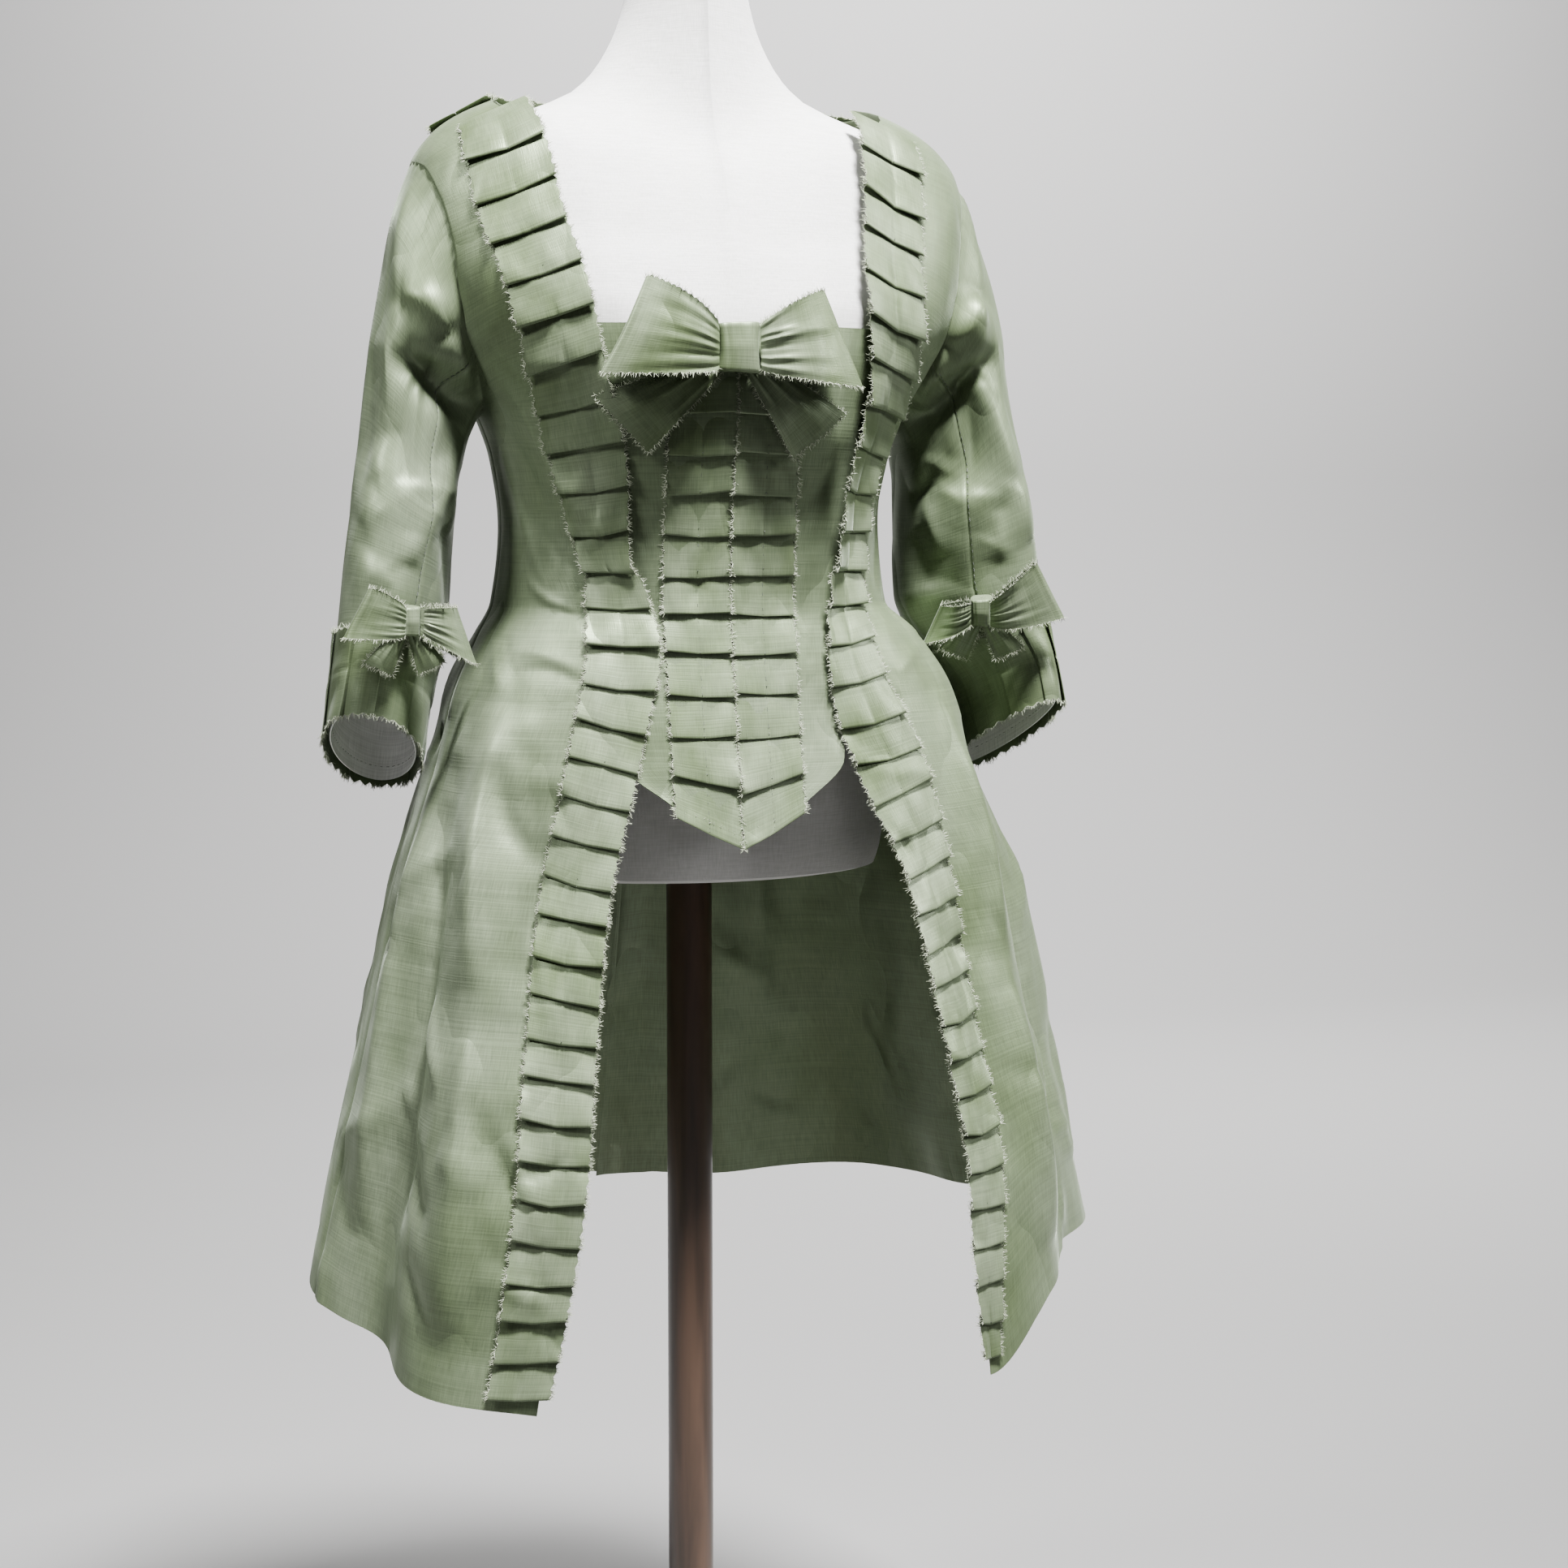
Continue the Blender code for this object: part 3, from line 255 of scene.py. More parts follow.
# Dents and creases of the body's cloth: from and to in angle and level, depth
# (outwards when positive), half width, and how far the line bends
CREASE_UNITS = (1, 1e-3, 1, 1e-3, 1e-4, 1e-3, 1e-3)
CREASES = [
    # right bodice: drags from the armhole and bust to the waist
    (-66, 1165, -42, 1040, 30, 12, 10), (-74, 1150, -56, 1030, -26, 10, 8),
    (-58, 1175, -30, 1150, 22, 11, -6), (-80, 1105, -60, 1000, 20, 8, 6),
    (-64, 1045, -44, 1003, -24, 7, -4), (-70, 1012, -50, 985, 22, 6, 4), (-62, 1242, -50, 1225, 12, 4, 0),
    (-52, 1085, -38, 1000, 22, 9, -8),
    # right hip: loops of slack under the waist
    (-56, 985, -42, 965, -20, 6, -4), (-66, 955, -46, 940, 30, 7, -6), (-64, 940, -44, 930, -24, 6, -8),
    (-76, 965, -66, 925, 14, 4, 0), (-72, 968, -62, 930, -12, 4, 0), (-62, 880, -50, 800, -40, 14, 12),
    (-63, 915, -57, 690, 66, 24, 10), (-58, 705, -56, 465, 66, 26, -6), (-76, 880, -72, 490, -50, 22, -8),
    (-84, 860, -82, 520, 46, 20, 6), (-50, 860, -48, 640, -44, 18, 6), (-56, 640, -44, 560, -26, 10, 6),
    (-70, 700, -62, 640, 24, 9, 6), (-68, 590, -60, 545, -24, 9, 4), (-60, 600, -50, 580, 16, 7, 4),
    (-50, 620, -42, 540, 22, 10, 0), (-84, 745, -70, 735, 9, 3, 0), (-76, 640, -68, 600, 14, 7, 4),
    (-52, 520, -40, 500, 20, 9, 4), (-66, 520, -58, 470, -18, 9, 0),
    # left bodice and hip
    (66, 1165, 46, 1060, 26, 12, -10), (78, 1120, 58, 1010, -22, 10, -6), (56, 975, 44, 960, -20, 6, 4),
    (68, 955, 50, 935, 26, 7, 6), (63, 925, 60, 700, 62, 23, -10), (61, 710, 59, 500, 60, 24, 6),
    (75, 900, 74, 560, -48, 21, 6), (85, 860, 82, 540, 44, 20, -6), (52, 860, 51, 560, -36, 16, 4),
    (70, 660, 62, 600, 24, 9, 4),
    # back: slack across the waist and long soft ridges down the skirt
    (-150, 1060, -120, 1020, -20, 8, 6), (150, 1050, 118, 1010, 20, 8, 6),
    (-172, 1010, -140, 985, 22, 7, 5), (170, 1000, 142, 980, -20, 7, 5),
    (-130, 1200, -112, 1120, 20, 10, 6), (132, 1210, 112, 1120, 20, 10, -6),
    (-168, 1180, -150, 1080, -14, 10, 6), (166, 1190, 150, 1080, 14, 10, -6),
    (-112, 900, -104, 640, 36, 14, 6), (112, 900, 104, 620, 36, 14, 6), (-150, 880, -152, 560, 30, 13, 6),
    (150, 880, 150, 560, -28, 14, 6), (-132, 620, -128, 500, 24, 11, 4), (134, 640, 128, 500, 24, 11, 4),
    (-176, 800, -176, 500, -26, 13, 6), (176, 820, 174, 520, 24, 13, 6)]
CREASES = (np.array(CREASES) * CREASE_UNITS).tolist()
# Small dents left by handling: how many, their depths and their lengths
CRUMPLES = 260
CRUMPLE_DEPTH = (0.0005, 0.0019)
CRUMPLE_LENGTH = (0.020, 0.095)
random = np.random.default_rng(11)
angles = random.uniform(-180, 180, CRUMPLES)
levels = np.where(random.random(CRUMPLES) < 0.62, random.uniform(0.45, 0.93, CRUMPLES),
                  random.uniform(0.93, 1.30, CRUMPLES))
leans = np.radians(random.normal(62, 30, CRUMPLES)) * random.choice([-1, 1], CRUMPLES)
lengths = random.uniform(*CRUMPLE_LENGTH, CRUMPLES)
depths = random.uniform(*CRUMPLE_DEPTH, CRUMPLES) * random.choice([-1, 1], CRUMPLES)
CREASES += [(a, l, a + math.degrees(math.cos(t) * s / 0.21), l + math.sin(t) * s, d, 0.16 * s, 0.12 * s)
            for a, l, t, s, d in zip(angles, levels, leans, lengths, depths)]


def crease_depth(points, surface, lines, steps=6):
    """How far the cloth stands out at these points from creases along a surface."""
    flat = points.reshape(-1, 3)
    depth = np.zeros(len(flat))
    share = np.linspace(0, 1, steps)
    for a0, l0, a1, l1, deep, width, bend in lines:
        line = surface(a0 + (a1 - a0) * share, l0 + (l1 - l0) * share)
        aside = np.cross(line[-1] - line[0], line[steps // 2] - [0, 0, line[steps // 2][2]])
        aside /= np.linalg.norm(aside) + 1e-9
        line = line + aside * (bend * np.sin(math.pi * share))[:, None]
        reach = 3.5 * width
        near = np.all((flat > line.min(0) - reach) & (flat < line.max(0) + reach), axis=1)
        if not near.any():
            continue
        some = flat[near]
        best = np.full(len(some), 9.0)
        fade = np.zeros(len(some))
        for k in range(steps - 1):
            run = line[k + 1] - line[k]
            along = np.clip((some - line[k]) @ run / (run @ run), 0, 1)
            away = np.linalg.norm(some - line[k] - along[:, None] * run, axis=1)
            closer = away < best
            best = np.where(closer, away, best)
            fade = np.where(closer, np.sin(math.pi * (k + along) / (steps - 1)), fade)
        part = (best / width) ** 2
        crest = np.exp(-1.5 * (np.sqrt(part + 0.05) - 0.2236))
        depth[near] += deep * np.clip(fade, 0, 1) ** 0.7 * crest
    return depth.reshape(points.shape[:-1])


# Below the waist the folds are deeper and may sink further in
LOOSE_GAIN, DEEPEST_TIGHT, DEEPEST_LOOSE = 1.3, 0.0011, 0.014


def lift(angle, level, out, creased=True):
    """Body points moved out along the surface's own normal, with its creases."""
    angle, level = np.broadcast_arrays(np.asarray(angle, float), np.asarray(level, float))
    around = body(angle + 0.4, level) - body(angle - 0.4, level)
    upward = body(angle, level + 0.001) - body(angle, level - 0.001)
    normal = np.cross(around, upward)
    normal /= np.linalg.norm(normal, axis=-1, keepdims=True)
    base = body(angle, level)
    out = np.asarray(out, float) + 0 * angle
    if creased:
        folds = crease_depth(base, body, CREASES)
        loose = np.clip((0.95 - level) / 0.05, 0, 1)
        out = out + np.maximum(folds * (1 + LOOSE_GAIN * loose), -DEEPEST_TIGHT - DEEPEST_LOOSE * loose)
    return base + normal * out[..., None]


def ramp(add, share, *stops):
    """Colours that change along the given places."""
    node = add("ShaderNodeValToRGB", {"Fac": share})
    elements = node.color_ramp.elements
    for element, (place_at, colour) in zip(elements, (stops[0], stops[-1])):
        element.position, element.color = place_at, colour
    for place_at, colour in stops[1:-1]:
        elements.new(place_at).color = colour
    return node


def silk(name, pale, middle, deep, roughness=0.44, patch=7.0, crinkle=0.4, metallic=0.2):
    """Changeable silk taffeta: two tones of thread, slubs in the weft, a fine rib."""
    finish, add, set_shader = new_finish(name)
    where = add("ShaderNodeTexCoord")

    def noise(source, stretch, scale, detail=3.0, rough=0.5):
        turned = add("ShaderNodeMapping", {"Vector": where.outputs[source], "Scale": stretch})
        return add("ShaderNodeTexNoise",
                   {"Vector": turned, "Scale": scale, "Detail": detail, "Roughness": rough})

    patches = ramp(add, noise("Object", (1, 1, 0.55), patch, 4.0, 0.55),
                   (0.34, (*deep, 1)), (0.5, (*middle, 1)), (0.68, (*pale, 1)))
    threads = add("ShaderNodeMath", {0: noise("UV", (14, 700, 1), 1.0, 2.0),
                                     1: noise("UV", (1500, 60, 1), 1.0, 1.0)}, operation="ADD")
    tone = add("ShaderNodeMapRange", {"Value": threads, "From Min": 0.6, "From Max": 1.4,
                                      "To Min": 0.74, "To Max": 1.26})
    gloss = add("ShaderNodeMapRange", {"Value": noise("Object", (1, 1, 1), 14.0),
                                       "To Min": roughness - 0.07, "To Max": roughness + 0.09})
    rib = add("ShaderNodeBump", {"Height": threads, "Strength": 0.6, "Distance": 0.00018})
    soft = add("ShaderNodeBump", {"Height": noise("Object", (1, 1, 0.7), 34.0, 2.0),
                                  "Strength": crinkle, "Distance": 0.0016, "Normal": rib})
    side = add("ShaderNodeMath", {0: noise("Object", (1.5, 1.5, 0.8), 8.0, 2.0), 1: 0.5},
               operation="SUBTRACT")
    crisp = add("ShaderNodeBump", {"Height": add("ShaderNodeMath", {0: side}, operation="ABSOLUTE"),
                                   "Strength": crinkle, "Distance": 0.030, "Normal": soft})
    set_shader({
        "Base Color": add("ShaderNodeVectorMath", {"Vector": patches, "Scale": tone}, operation="SCALE"),
        "Roughness": gloss, "Normal": crisp, "Metallic": metallic, "IOR": 1.6,
        "Specular Tint": (0.82, 1.0, 0.68, 1), "Sheen Weight": 0.10, "Sheen Roughness": 0.32,
        "Sheen Tint": (0.80, 0.90, 0.74, 1)})
    finish.diffuse_color = (*middle, 1)
    return finish


TAFFETA = silk("green taffeta", (0.118, 0.142, 0.094), (0.084, 0.107, 0.062), (0.058, 0.078, 0.037))
PLEATED = silk("pleated green taffeta", (0.116, 0.140, 0.090), (0.080, 0.102, 0.058),
               (0.050, 0.068, 0.030), patch=16.0)


def stand(name, mesh, slot):
    """A mesh as a piece of the part."""
    piece = bpy.data.objects.new(name, mesh)
    bpy.context.scene.collection.objects.link(piece)
    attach(piece, "root")
    return piece


def cloth(name, outer, finish, slot, wall=SILK, round_columns=False):
    """A closed wall of cloth under a grid of points, rows by columns."""
    across = np.gradient(outer, axis=1)
    if round_columns:
        across = np.roll(outer, -1, 1) - np.roll(outer, 1, 1)
    normal = np.cross(np.gradient(outer, axis=0), across)
    normal /= np.linalg.norm(normal, axis=-1, keepdims=True) + 1e-12
    inner = outer - normal * wall
    rows, columns = outer.shape[:2]
    count = rows * columns
    spans = columns if round_columns else columns - 1
    i, j = np.meshgrid(np.arange(rows - 1), np.arange(spans), indexing="ij")
    k = (j + 1) % columns
    a, b, c, d = i * columns + j, i * columns + k, (i + 1) * columns + k, (i + 1) * columns + j
    top = np.stack([a, b, c, d], -1).reshape(-1, 4)
    faces = [top, top[:, ::-1] + count]
    for row, turned in ((0, False), (rows - 1, True)):
        e = row * columns + np.arange(spans)
        f = row * columns + (np.arange(spans) + 1) % columns
        rim = np.stack([f, e, e + count, f + count], -1)
        faces.append(rim[:, ::-1] if turned else rim)
    if not round_columns:
        for column, turned in ((0, True), (columns - 1, False)):
            e = np.arange(rows - 1) * columns + column
            rim = np.stack([e + columns, e, e + count, e + columns + count], -1)
            faces.append(rim[:, ::-1] if turned else rim)
    points = np.concatenate([outer.reshape(-1, 3), inner.reshape(-1, 3)])
    faces = np.concatenate(faces)
    mesh = bpy.data.meshes.new(name)
    mesh.from_pydata(points.tolist(), [], faces.tolist())
    a, b, c, d = (points[faces[:, i]] for i in range(4))
    if (np.einsum("ij,ij->i", a, np.cross(b, c)) + np.einsum("ij,ij->i", a, np.cross(c, d))).sum() < 0:
        mesh.flip_normals()
    steps_down = np.linalg.norm(np.diff(outer, axis=0), axis=-1).mean(1)
    steps_over = np.linalg.norm(np.diff(outer, axis=1), axis=-1).mean(0)
    v = np.concatenate([[0], np.cumsum(steps_down)])[:, None] + np.zeros((rows, columns))
    u = np.concatenate([[0], np.cumsum(steps_over)])[None, :columns] + np.zeros((rows, columns))
    flat = np.stack([u.ravel(), v.ravel()], -1)
    flat = np.concatenate([flat, flat])
    layer = mesh.uv_layers.new(name="UVMap")
    loops = np.zeros(len(mesh.loops), dtype=np.int64)
    mesh.loops.foreach_get("vertex_index", loops)
    layer.data.foreach_set("uv", flat[loops].astype(np.float32).ravel())
    mesh.shade_smooth()
    mesh.set_sharp_from_angle(angle=math.radians(58))
    mesh.materials.append(finish)
    return stand(name, mesh, slot)


ROBINGS = Table("height right_outer right_inner left_outer left_inner slope left_stand", [  # in thousandths
    (424, 200, 158, 186, 170, 0, 4), (480, 189, 145, 190, 165, -2, 3), (580, 173, 127, 194, 161, -4, 1),
    (670, 164, 117, 184, 147, -8, 0), (780, 149, 101, 169, 126, -12, 0),
    (860, 128, 80, 151, 92, -14, 0), (910, 116, 67, 130, 76, -10, 0), (955, 106, 57, 112, 70, -4, 4),
    (1010, 102, 67, 106, 70, 0, 9), (1020, 105, 74, 108, 73, 2, 10), (1077, 118, 77, 114, 80, 6, 9),
    (1120, 131, 84, 131, 90, 10, 6), (1160, 143, 96, 145, 98, 13, 4), (1230, 165, 112, 147, 97, 17, 3),
    (1280, 180, 125, 153, 103, 20, 2), (1320, 184, 130, 158, 108, 22, 1),
    (1350, 184, 136, 160, 112, 22, 0)], unit=0.001)
EDGE_INSIDE_ROBING = 0.009
PANEL_LEVELS = [HEM_LEVEL, 0.47, 0.52, 0.58, 0.63, 0.68, 0.73, 0.78, 0.82, 0.86, 0.895,
                0.92, 0.94, 0.955, 0.97, 0.985, 1.00, 1.02, 1.045, 1.075, 1.105]
SEAM_SINK, SEAM_WIDTH = 0.0008, 0.007
STOMACHER_ANGLE, STOMACHER_LEVEL = 66, 1.27
ARMHOLE_BOTTOM, ARMHOLE_TOP, ARMHOLE_HALF_ANGLE = 1.135, 1.318, 21.0
HOLE_STEPS = 10
NECK_SIDE, NECK_BACK = 1.3665, 1.379
PANEL_FINENESS = 6


def armhole(turn, inset=0.0):
    """Angle from centre front and level; turn is 0 at the top, 90 in front."""
    turn = np.radians(turn)
    level = ((ARMHOLE_TOP + ARMHOLE_BOTTOM) / 2
             + ((ARMHOLE_TOP - ARMHOLE_BOTTOM) / 2 - inset) * np.cos(turn))
    swing = np.sign(np.sin(turn)) * np.abs(np.sin(turn)) ** 0.85
    return 90 - (ARMHOLE_HALF_ANGLE - inset * 300) * swing, level


def front_base(angle, level):
    """How far the fronts lie off the body: just over the stomacher where it is."""
    near = (np.clip((STOMACHER_ANGLE - np.abs(angle)) / 14, 0, 1)
            * np.clip((STOMACHER_LEVEL - level) / 0.05, 0, 1))
    return FORM_GAP + near * near * (3 - 2 * near) * (CLOTH + LAYER_GAP)


def back_base(angle, level):
    return FORM_GAP + 0 * angle


def finer(values):
    rows = np.arange(len(values), dtype=float)
    return Table("row value", np.stack([rows, values], 1)).at(
        np.linspace(0, len(values) - 1, (len(values) - 1) * PANEL_FINENESS + 1), "value")


def panel(name, sign, edge_angle, edge_level, facing, base, columns=52):
    turns = np.linspace(180, 0, HOLE_STEPS)
    hole_angle, hole_level = armhole(facing * turns)
    side_angle = np.concatenate([np.full(len(PANEL_LEVELS), 90.0), hole_angle])
    side_level = np.concatenate([PANEL_LEVELS, hole_level])
    share = np.concatenate([[0, 0.006, 0.014], np.linspace(0.03, 0.97, columns), [0.986, 0.994, 1]])
    angle = finer(edge_angle)[:, None] * (1 - share) + sign * finer(side_angle)[:, None] * share
    level = finer(edge_level)[:, None] * (1 - share) + finer(side_level)[:, None] * share
    rise = HEM.at(angle[0], "level") - HEM_LEVEL
    level = level + rise * np.clip((HEM_RISE_TOP - level) / (HEM_RISE_TOP - HEM_LEVEL), 0, 1)
    seams = (np.exp(-((1 - share) / SEAM_WIDTH) ** 2)
             + (facing < 0) * np.exp(-(share / SEAM_WIDTH) ** 2))
    grid = lift(angle, level, base(angle, level) + CLOTH - SEAM_SINK * seams)
    grid = grid if sign * facing > 0 else grid[:, ::-1]
    piece = cloth(name, grid, TAFFETA, "taffeta")
    return piece, grid


SIDES = (("right", -1), ("left", 1))
front_grids = {}
for side, sign in SIDES:
    lower = ring_height(38.0, np.array(PANEL_LEVELS))
    height = np.concatenate([lower, np.linspace(1.132, NECK_SIDE, HOLE_STEPS)])
    edge_x = sign * (ROBINGS.at(height, side + "_inner") + EDGE_INSIDE_ROBING)
    edge_angle, edge_level = place(edge_x, height)
    edge_angle[-1] = sign * 90
    piece, front_grids[side] = panel("silk_front_" + side, sign, edge_angle, edge_level, 1, front_base)
    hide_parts("front_" + side)
    neck = np.linspace(0, 1, 5)[1:]
    edge_angle = np.concatenate([np.full(len(PANEL_LEVELS) + 6, 180.0), 180 - 90 * neck])
    edge_level = np.concatenate([PANEL_LEVELS, np.linspace(1.145, NECK_BACK, 6),
                                 NECK_BACK + (NECK_SIDE - NECK_BACK) * neck])
    piece, _ = panel("silk_back_" + side, sign, sign * edge_angle, edge_level, -1, back_base)
    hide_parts("back_" + side)


# The raw edges and the hand stitches. Every pleated strip and bow is pinked and
# left raw, so pale thread ends stand out along it; the strips are sewn down with
# small running stitches in green silk.
def thread(name, colour, roughness):
    finish, add, set_shader = new_finish(name)
    spots = add("ShaderNodeTexNoise", {"Vector": add("ShaderNodeTexCoord").outputs["Object"],
                                       "Scale": 420.0})
    dark = [c * 0.55 for c in colour]
    set_shader({"Base Color": ramp(add, spots, (0, (*dark, 1)), (1, (*colour, 1))),
                "Roughness": roughness, "Sheen Weight": 0.3})
    return finish


PALE_THREAD = thread("pale raw silk ends", (0.30, 0.33, 0.23), 0.6)
DARK_THREAD = thread("dark green sewing silk", (0.016, 0.024, 0.012), 0.5)


def line_tree(name, along_line):
    """Small shapes on lines: stitches along them, or thread ends standing out from them."""
    tree = bpy.data.node_groups.new(name, "GeometryNodeTree")
    add = adder(tree)
    for label, kind in (("Geometry", "Geometry"), ("Spacing", "Float"), ("Length", "Float"),
                        ("Thickness", "Float"), ("Wander", "Float"), ("Seed", "Int"),
                        ("Finish", "Material")):
        tree.interface.new_socket(label, in_out="INPUT", socket_type="NodeSocket" + kind)
    tree.interface.new_socket("Geometry", in_out="OUTPUT", socket_type="NodeSocketGeometry")
    given = add("NodeGroupInput").outputs
    curve = add("GeometryNodeMeshToCurve", {"Mesh": given["Geometry"]})
    even = add("GeometryNodeResampleCurve", {"Curve": curve, "Length": given["Spacing"]}, mode="LENGTH")
    if along_line:
        shape = add("GeometryNodeMeshCylinder", {
            "Vertices": 6, "Radius": given["Thickness"], "Depth": given["Length"]})
        direction = add("GeometryNodeInputTangent")
    else:
        shape = add("GeometryNodeMeshCone", {
            "Vertices": 4, "Radius Top": 0.00006, "Radius Bottom": given["Thickness"],
            "Depth": given["Length"]})
        direction = add("GeometryNodeInputNamedAttribute", {"Name": "outward"}, data_type="FLOAT_VECTOR")
    stray = add("FunctionNodeRandomValue", {"Min": (-1, -1, -1), "Max": (1, 1, 1), "Seed": given["Seed"]},
                data_type="FLOAT_VECTOR")
    wander = add("ShaderNodeVectorMath", {"Vector": stray, "Scale": given["Wander"]}, operation="SCALE")
    aim = add("ShaderNodeVectorMath", {0: direction, 1: wander})
    size = add("FunctionNodeRandomValue", {"Min": 0.55, "Max": 1.25, "Seed": given["Seed"]})
    placed = add("GeometryNodeInstanceOnPoints", {
        "Points": even, "Instance": shape, "Scale": size,
        "Rotation": add("FunctionNodeAlignRotationToVector", {"Vector": aim})})
    real = add("GeometryNodeRealizeInstances", {"Geometry": placed})
    add("NodeGroupOutput", {"Geometry": add(
        "GeometryNodeSetMaterial", {"Geometry": real, "Material": given["Finish"]})})
    return tree


THREAD_ENDS = line_tree("thread ends", along_line=False)
STITCHES = line_tree("stitches", along_line=True)


def sew(name, lines, tree, spacing, length, thickness, wander, finish, slot, seed=3):
    """Runs a line tree over lines of points, each with its outward directions."""
    points = np.concatenate([np.asarray(line) for line, _ in lines])
    outward = np.concatenate([np.asarray(out) for _, out in lines])
    edges, first = [], 0
    for line, _ in lines:
        edges += [(first + i, first + i + 1) for i in range(len(line) - 1)]
        first += len(line)
    mesh = bpy.data.meshes.new(name + "_line")
    mesh.from_pydata(points.tolist(), edges, [])
    arrows = mesh.attributes.new("outward", "FLOAT_VECTOR", "POINT")
    arrows.data.foreach_set("vector", outward.ravel())
    guide = bpy.data.objects.new(name + "_line", mesh)
    bpy.context.scene.collection.objects.link(guide)
    grown = guide.modifiers.new("grown", "NODES")
    grown.node_group = tree
    values = {"Spacing": spacing, "Length": length, "Thickness": thickness, "Wander": wander,
              "Seed": seed, "Finish": finish}
    for item in tree.interface.items_tree:
        if item.in_out == "INPUT" and item.name in values:
            grown[item.identifier] = values[item.name]
    shaped = guide.evaluated_get(bpy.context.evaluated_depsgraph_get())
    grown_mesh = bpy.data.meshes.new_from_object(shaped)
    bpy.data.objects.remove(guide)
    return stand(name, grown_mesh, slot)


def raw_edge(edge, beside):
    """An edge of a grid with the directions in which its thread ends point."""
    out = edge - beside
    return edge, out / (np.linalg.norm(out, axis=-1, keepdims=True) + 1e-9)


def side_edges(grid):
    """The raw edges along both sides of a strip."""
    return [raw_edge(grid[:, 0], grid[:, 2]), raw_edge(grid[:, -1], grid[:, -3])]


def fray(name, edges, seed=3):
    return sew(name, edges, THREAD_ENDS, 0.00085, 0.0034, 0.00026, 0.9, PALE_THREAD, "trim", seed)


def running_stitch(name, line, finish=DARK_THREAD, spacing=0.0062, length=0.0026, slot="trim"):
    return sew(name, [(line, line * 0)], STITCHES, spacing, length, 0.00028, 0.12, finish, slot)


# Along the skirt's hem: small hem stitches a finger's breadth above the edge
HEM_ROW = 3
hem_lines = [(front_grids[side][HEM_ROW] * [1.0008, 1.0012, 1], front_grids[side][HEM_ROW] * 0)
             for side, _ in SIDES]
sew("hem_stitches", hem_lines, STITCHES, 0.0075, 0.0022, 0.00025, 0.2, DARK_THREAD, "taffeta")


# The robings and the back neck trim: one long strip of the silk, pinked along both
# sides, laid in knife pleats that open downwards and sewn down along its middle.
PLEAT = [  # along the pleat and its height: up its slope, round the fold and back under
    (0.00, 0.05), (0.10, 0.14), (0.24, 0.29), (0.40, 0.47), (0.56, 0.65), (0.72, 0.82), (0.86, 0.95),
    (0.95, 1.00), (0.99, 0.97), (1.00, 0.88), (0.985, 0.78), (0.93, 0.69), (0.82, 0.60), (0.77, 0.52),
    (0.78, 0.42), (0.85, 0.27), (0.94, 0.12)]
ACROSS = np.array([0, 0.018, 0.06, 0.13, 0.22, 0.32, 0.41, 0.47, 0.5, 0.53, 0.59, 0.68, 0.78, 0.87,
                   0.94, 0.982, 1])
FOLD_AT_EDGE, FOLD_AT_STITCHES = 0.0052, 0.0030
STRIP_GAP = 0.0007
STRIP_SILK = 0.0004
PINKING = 0.0009 / 0.055
ROBING_RUNS = ((1.350, 1.015, 11), (1.015, 0.424, 21))  # from height, to height, pleats
SHOULDER_EASE = 0.0012


def pleated(surface, runs, across=ACROSS, seed=1, kink=0.0016, lean=0.0018, wave=0.0005,
            heights=(FOLD_AT_EDGE, FOLD_AT_STITCHES), unit=1.0):
    """A pleated strip over a surface of place along, share across and height out."""
    random = np.random.default_rng(seed)
    points, count = [], 0
    for start, end, pleats in runs:
        pitch = (end - start) / pleats
        for i in range(pleats):
            stretch = 1 + random.uniform(-0.05, 0.05)
            points += [(start + (i + f * stretch) * pitch, h, f, count) for f, h in PLEAT]
            count += 1
    at, high, phase, number = np.array(points).T[..., None]
    number = number.astype(int)
    kinks = random.normal(1, 0.6, count)[number] * kink
    leans = random.normal(0, 1, count)[number] * lean
    rises = random.uniform(0.65, 1.25, count)[number]
    share = across[None, :] + 0 * at
    middle = np.abs(2 * across - 1)[None, :]
    sense = np.sign(runs[0][1] - runs[0][0])
    shift = (kinks * (1 - middle) + leans * (share - 0.5)) * phase * unit * sense
    stand = heights[1] + (heights[0] - heights[1]) * middle ** 1.4
    stand = stand - 0.0006 * np.exp(-((share - 0.5) / 0.02) ** 2)
    puff = np.sin(2 * math.pi * (2.1 * share + random.random(count)[number])) * np.sin(math.pi * phase)
    zigzag = np.where(np.arange(len(at)) % 2, PINKING, -PINKING)[:, None]
    pinked = share + zigzag * ((across == 1) * 1.0 - (across == 0) * 1.0)[None, :]
    return surface(at + shift, pinked, STRIP_GAP + high * stand * rises + wave * puff)


def strip(name, node, grid, turned, seed=3, sewn=True, more_edges=()):
    """A pleated strip in its place, with its thread ends and, when sewn, its row of stitches."""
    grid = grid[:, ::-1] if turned else grid
    piece = cloth("pleats_" + name, grid, PLEATED, "trim", wall=STRIP_SILK)
    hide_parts(node)
    edges = side_edges(grid) + [raw_edge(grid[edge], grid[beside]) for edge, beside in more_edges]
    carries = [fray("raw_edges_" + name, edges, seed)]
    if sewn:
        carries.append(running_stitch("stitches_" + name, grid[:, len(ACROSS) // 2] + 0.0002))


def robing_surface(sign, side):
    def surface(at, share, out):
        slope = ROBINGS.at(at, "slope")
        height = at + slope * (share - 0.5)
        outer, inner = ROBINGS.at(height, side + "_outer"), ROBINGS.at(height, side + "_inner")
        angle, level = place(sign * (outer + (inner - outer) * share), height)
        base = front_base(angle, level) + CLOTH + SHOULDER_EASE * np.clip((height - 1.29) / 0.03, 0, 1)
        if side == "left":
            base = base + ROBINGS.at(height, "left_stand") * np.clip(2 * share - 1, 0, 1)
        return lift(angle, level, base + out)
    return surface


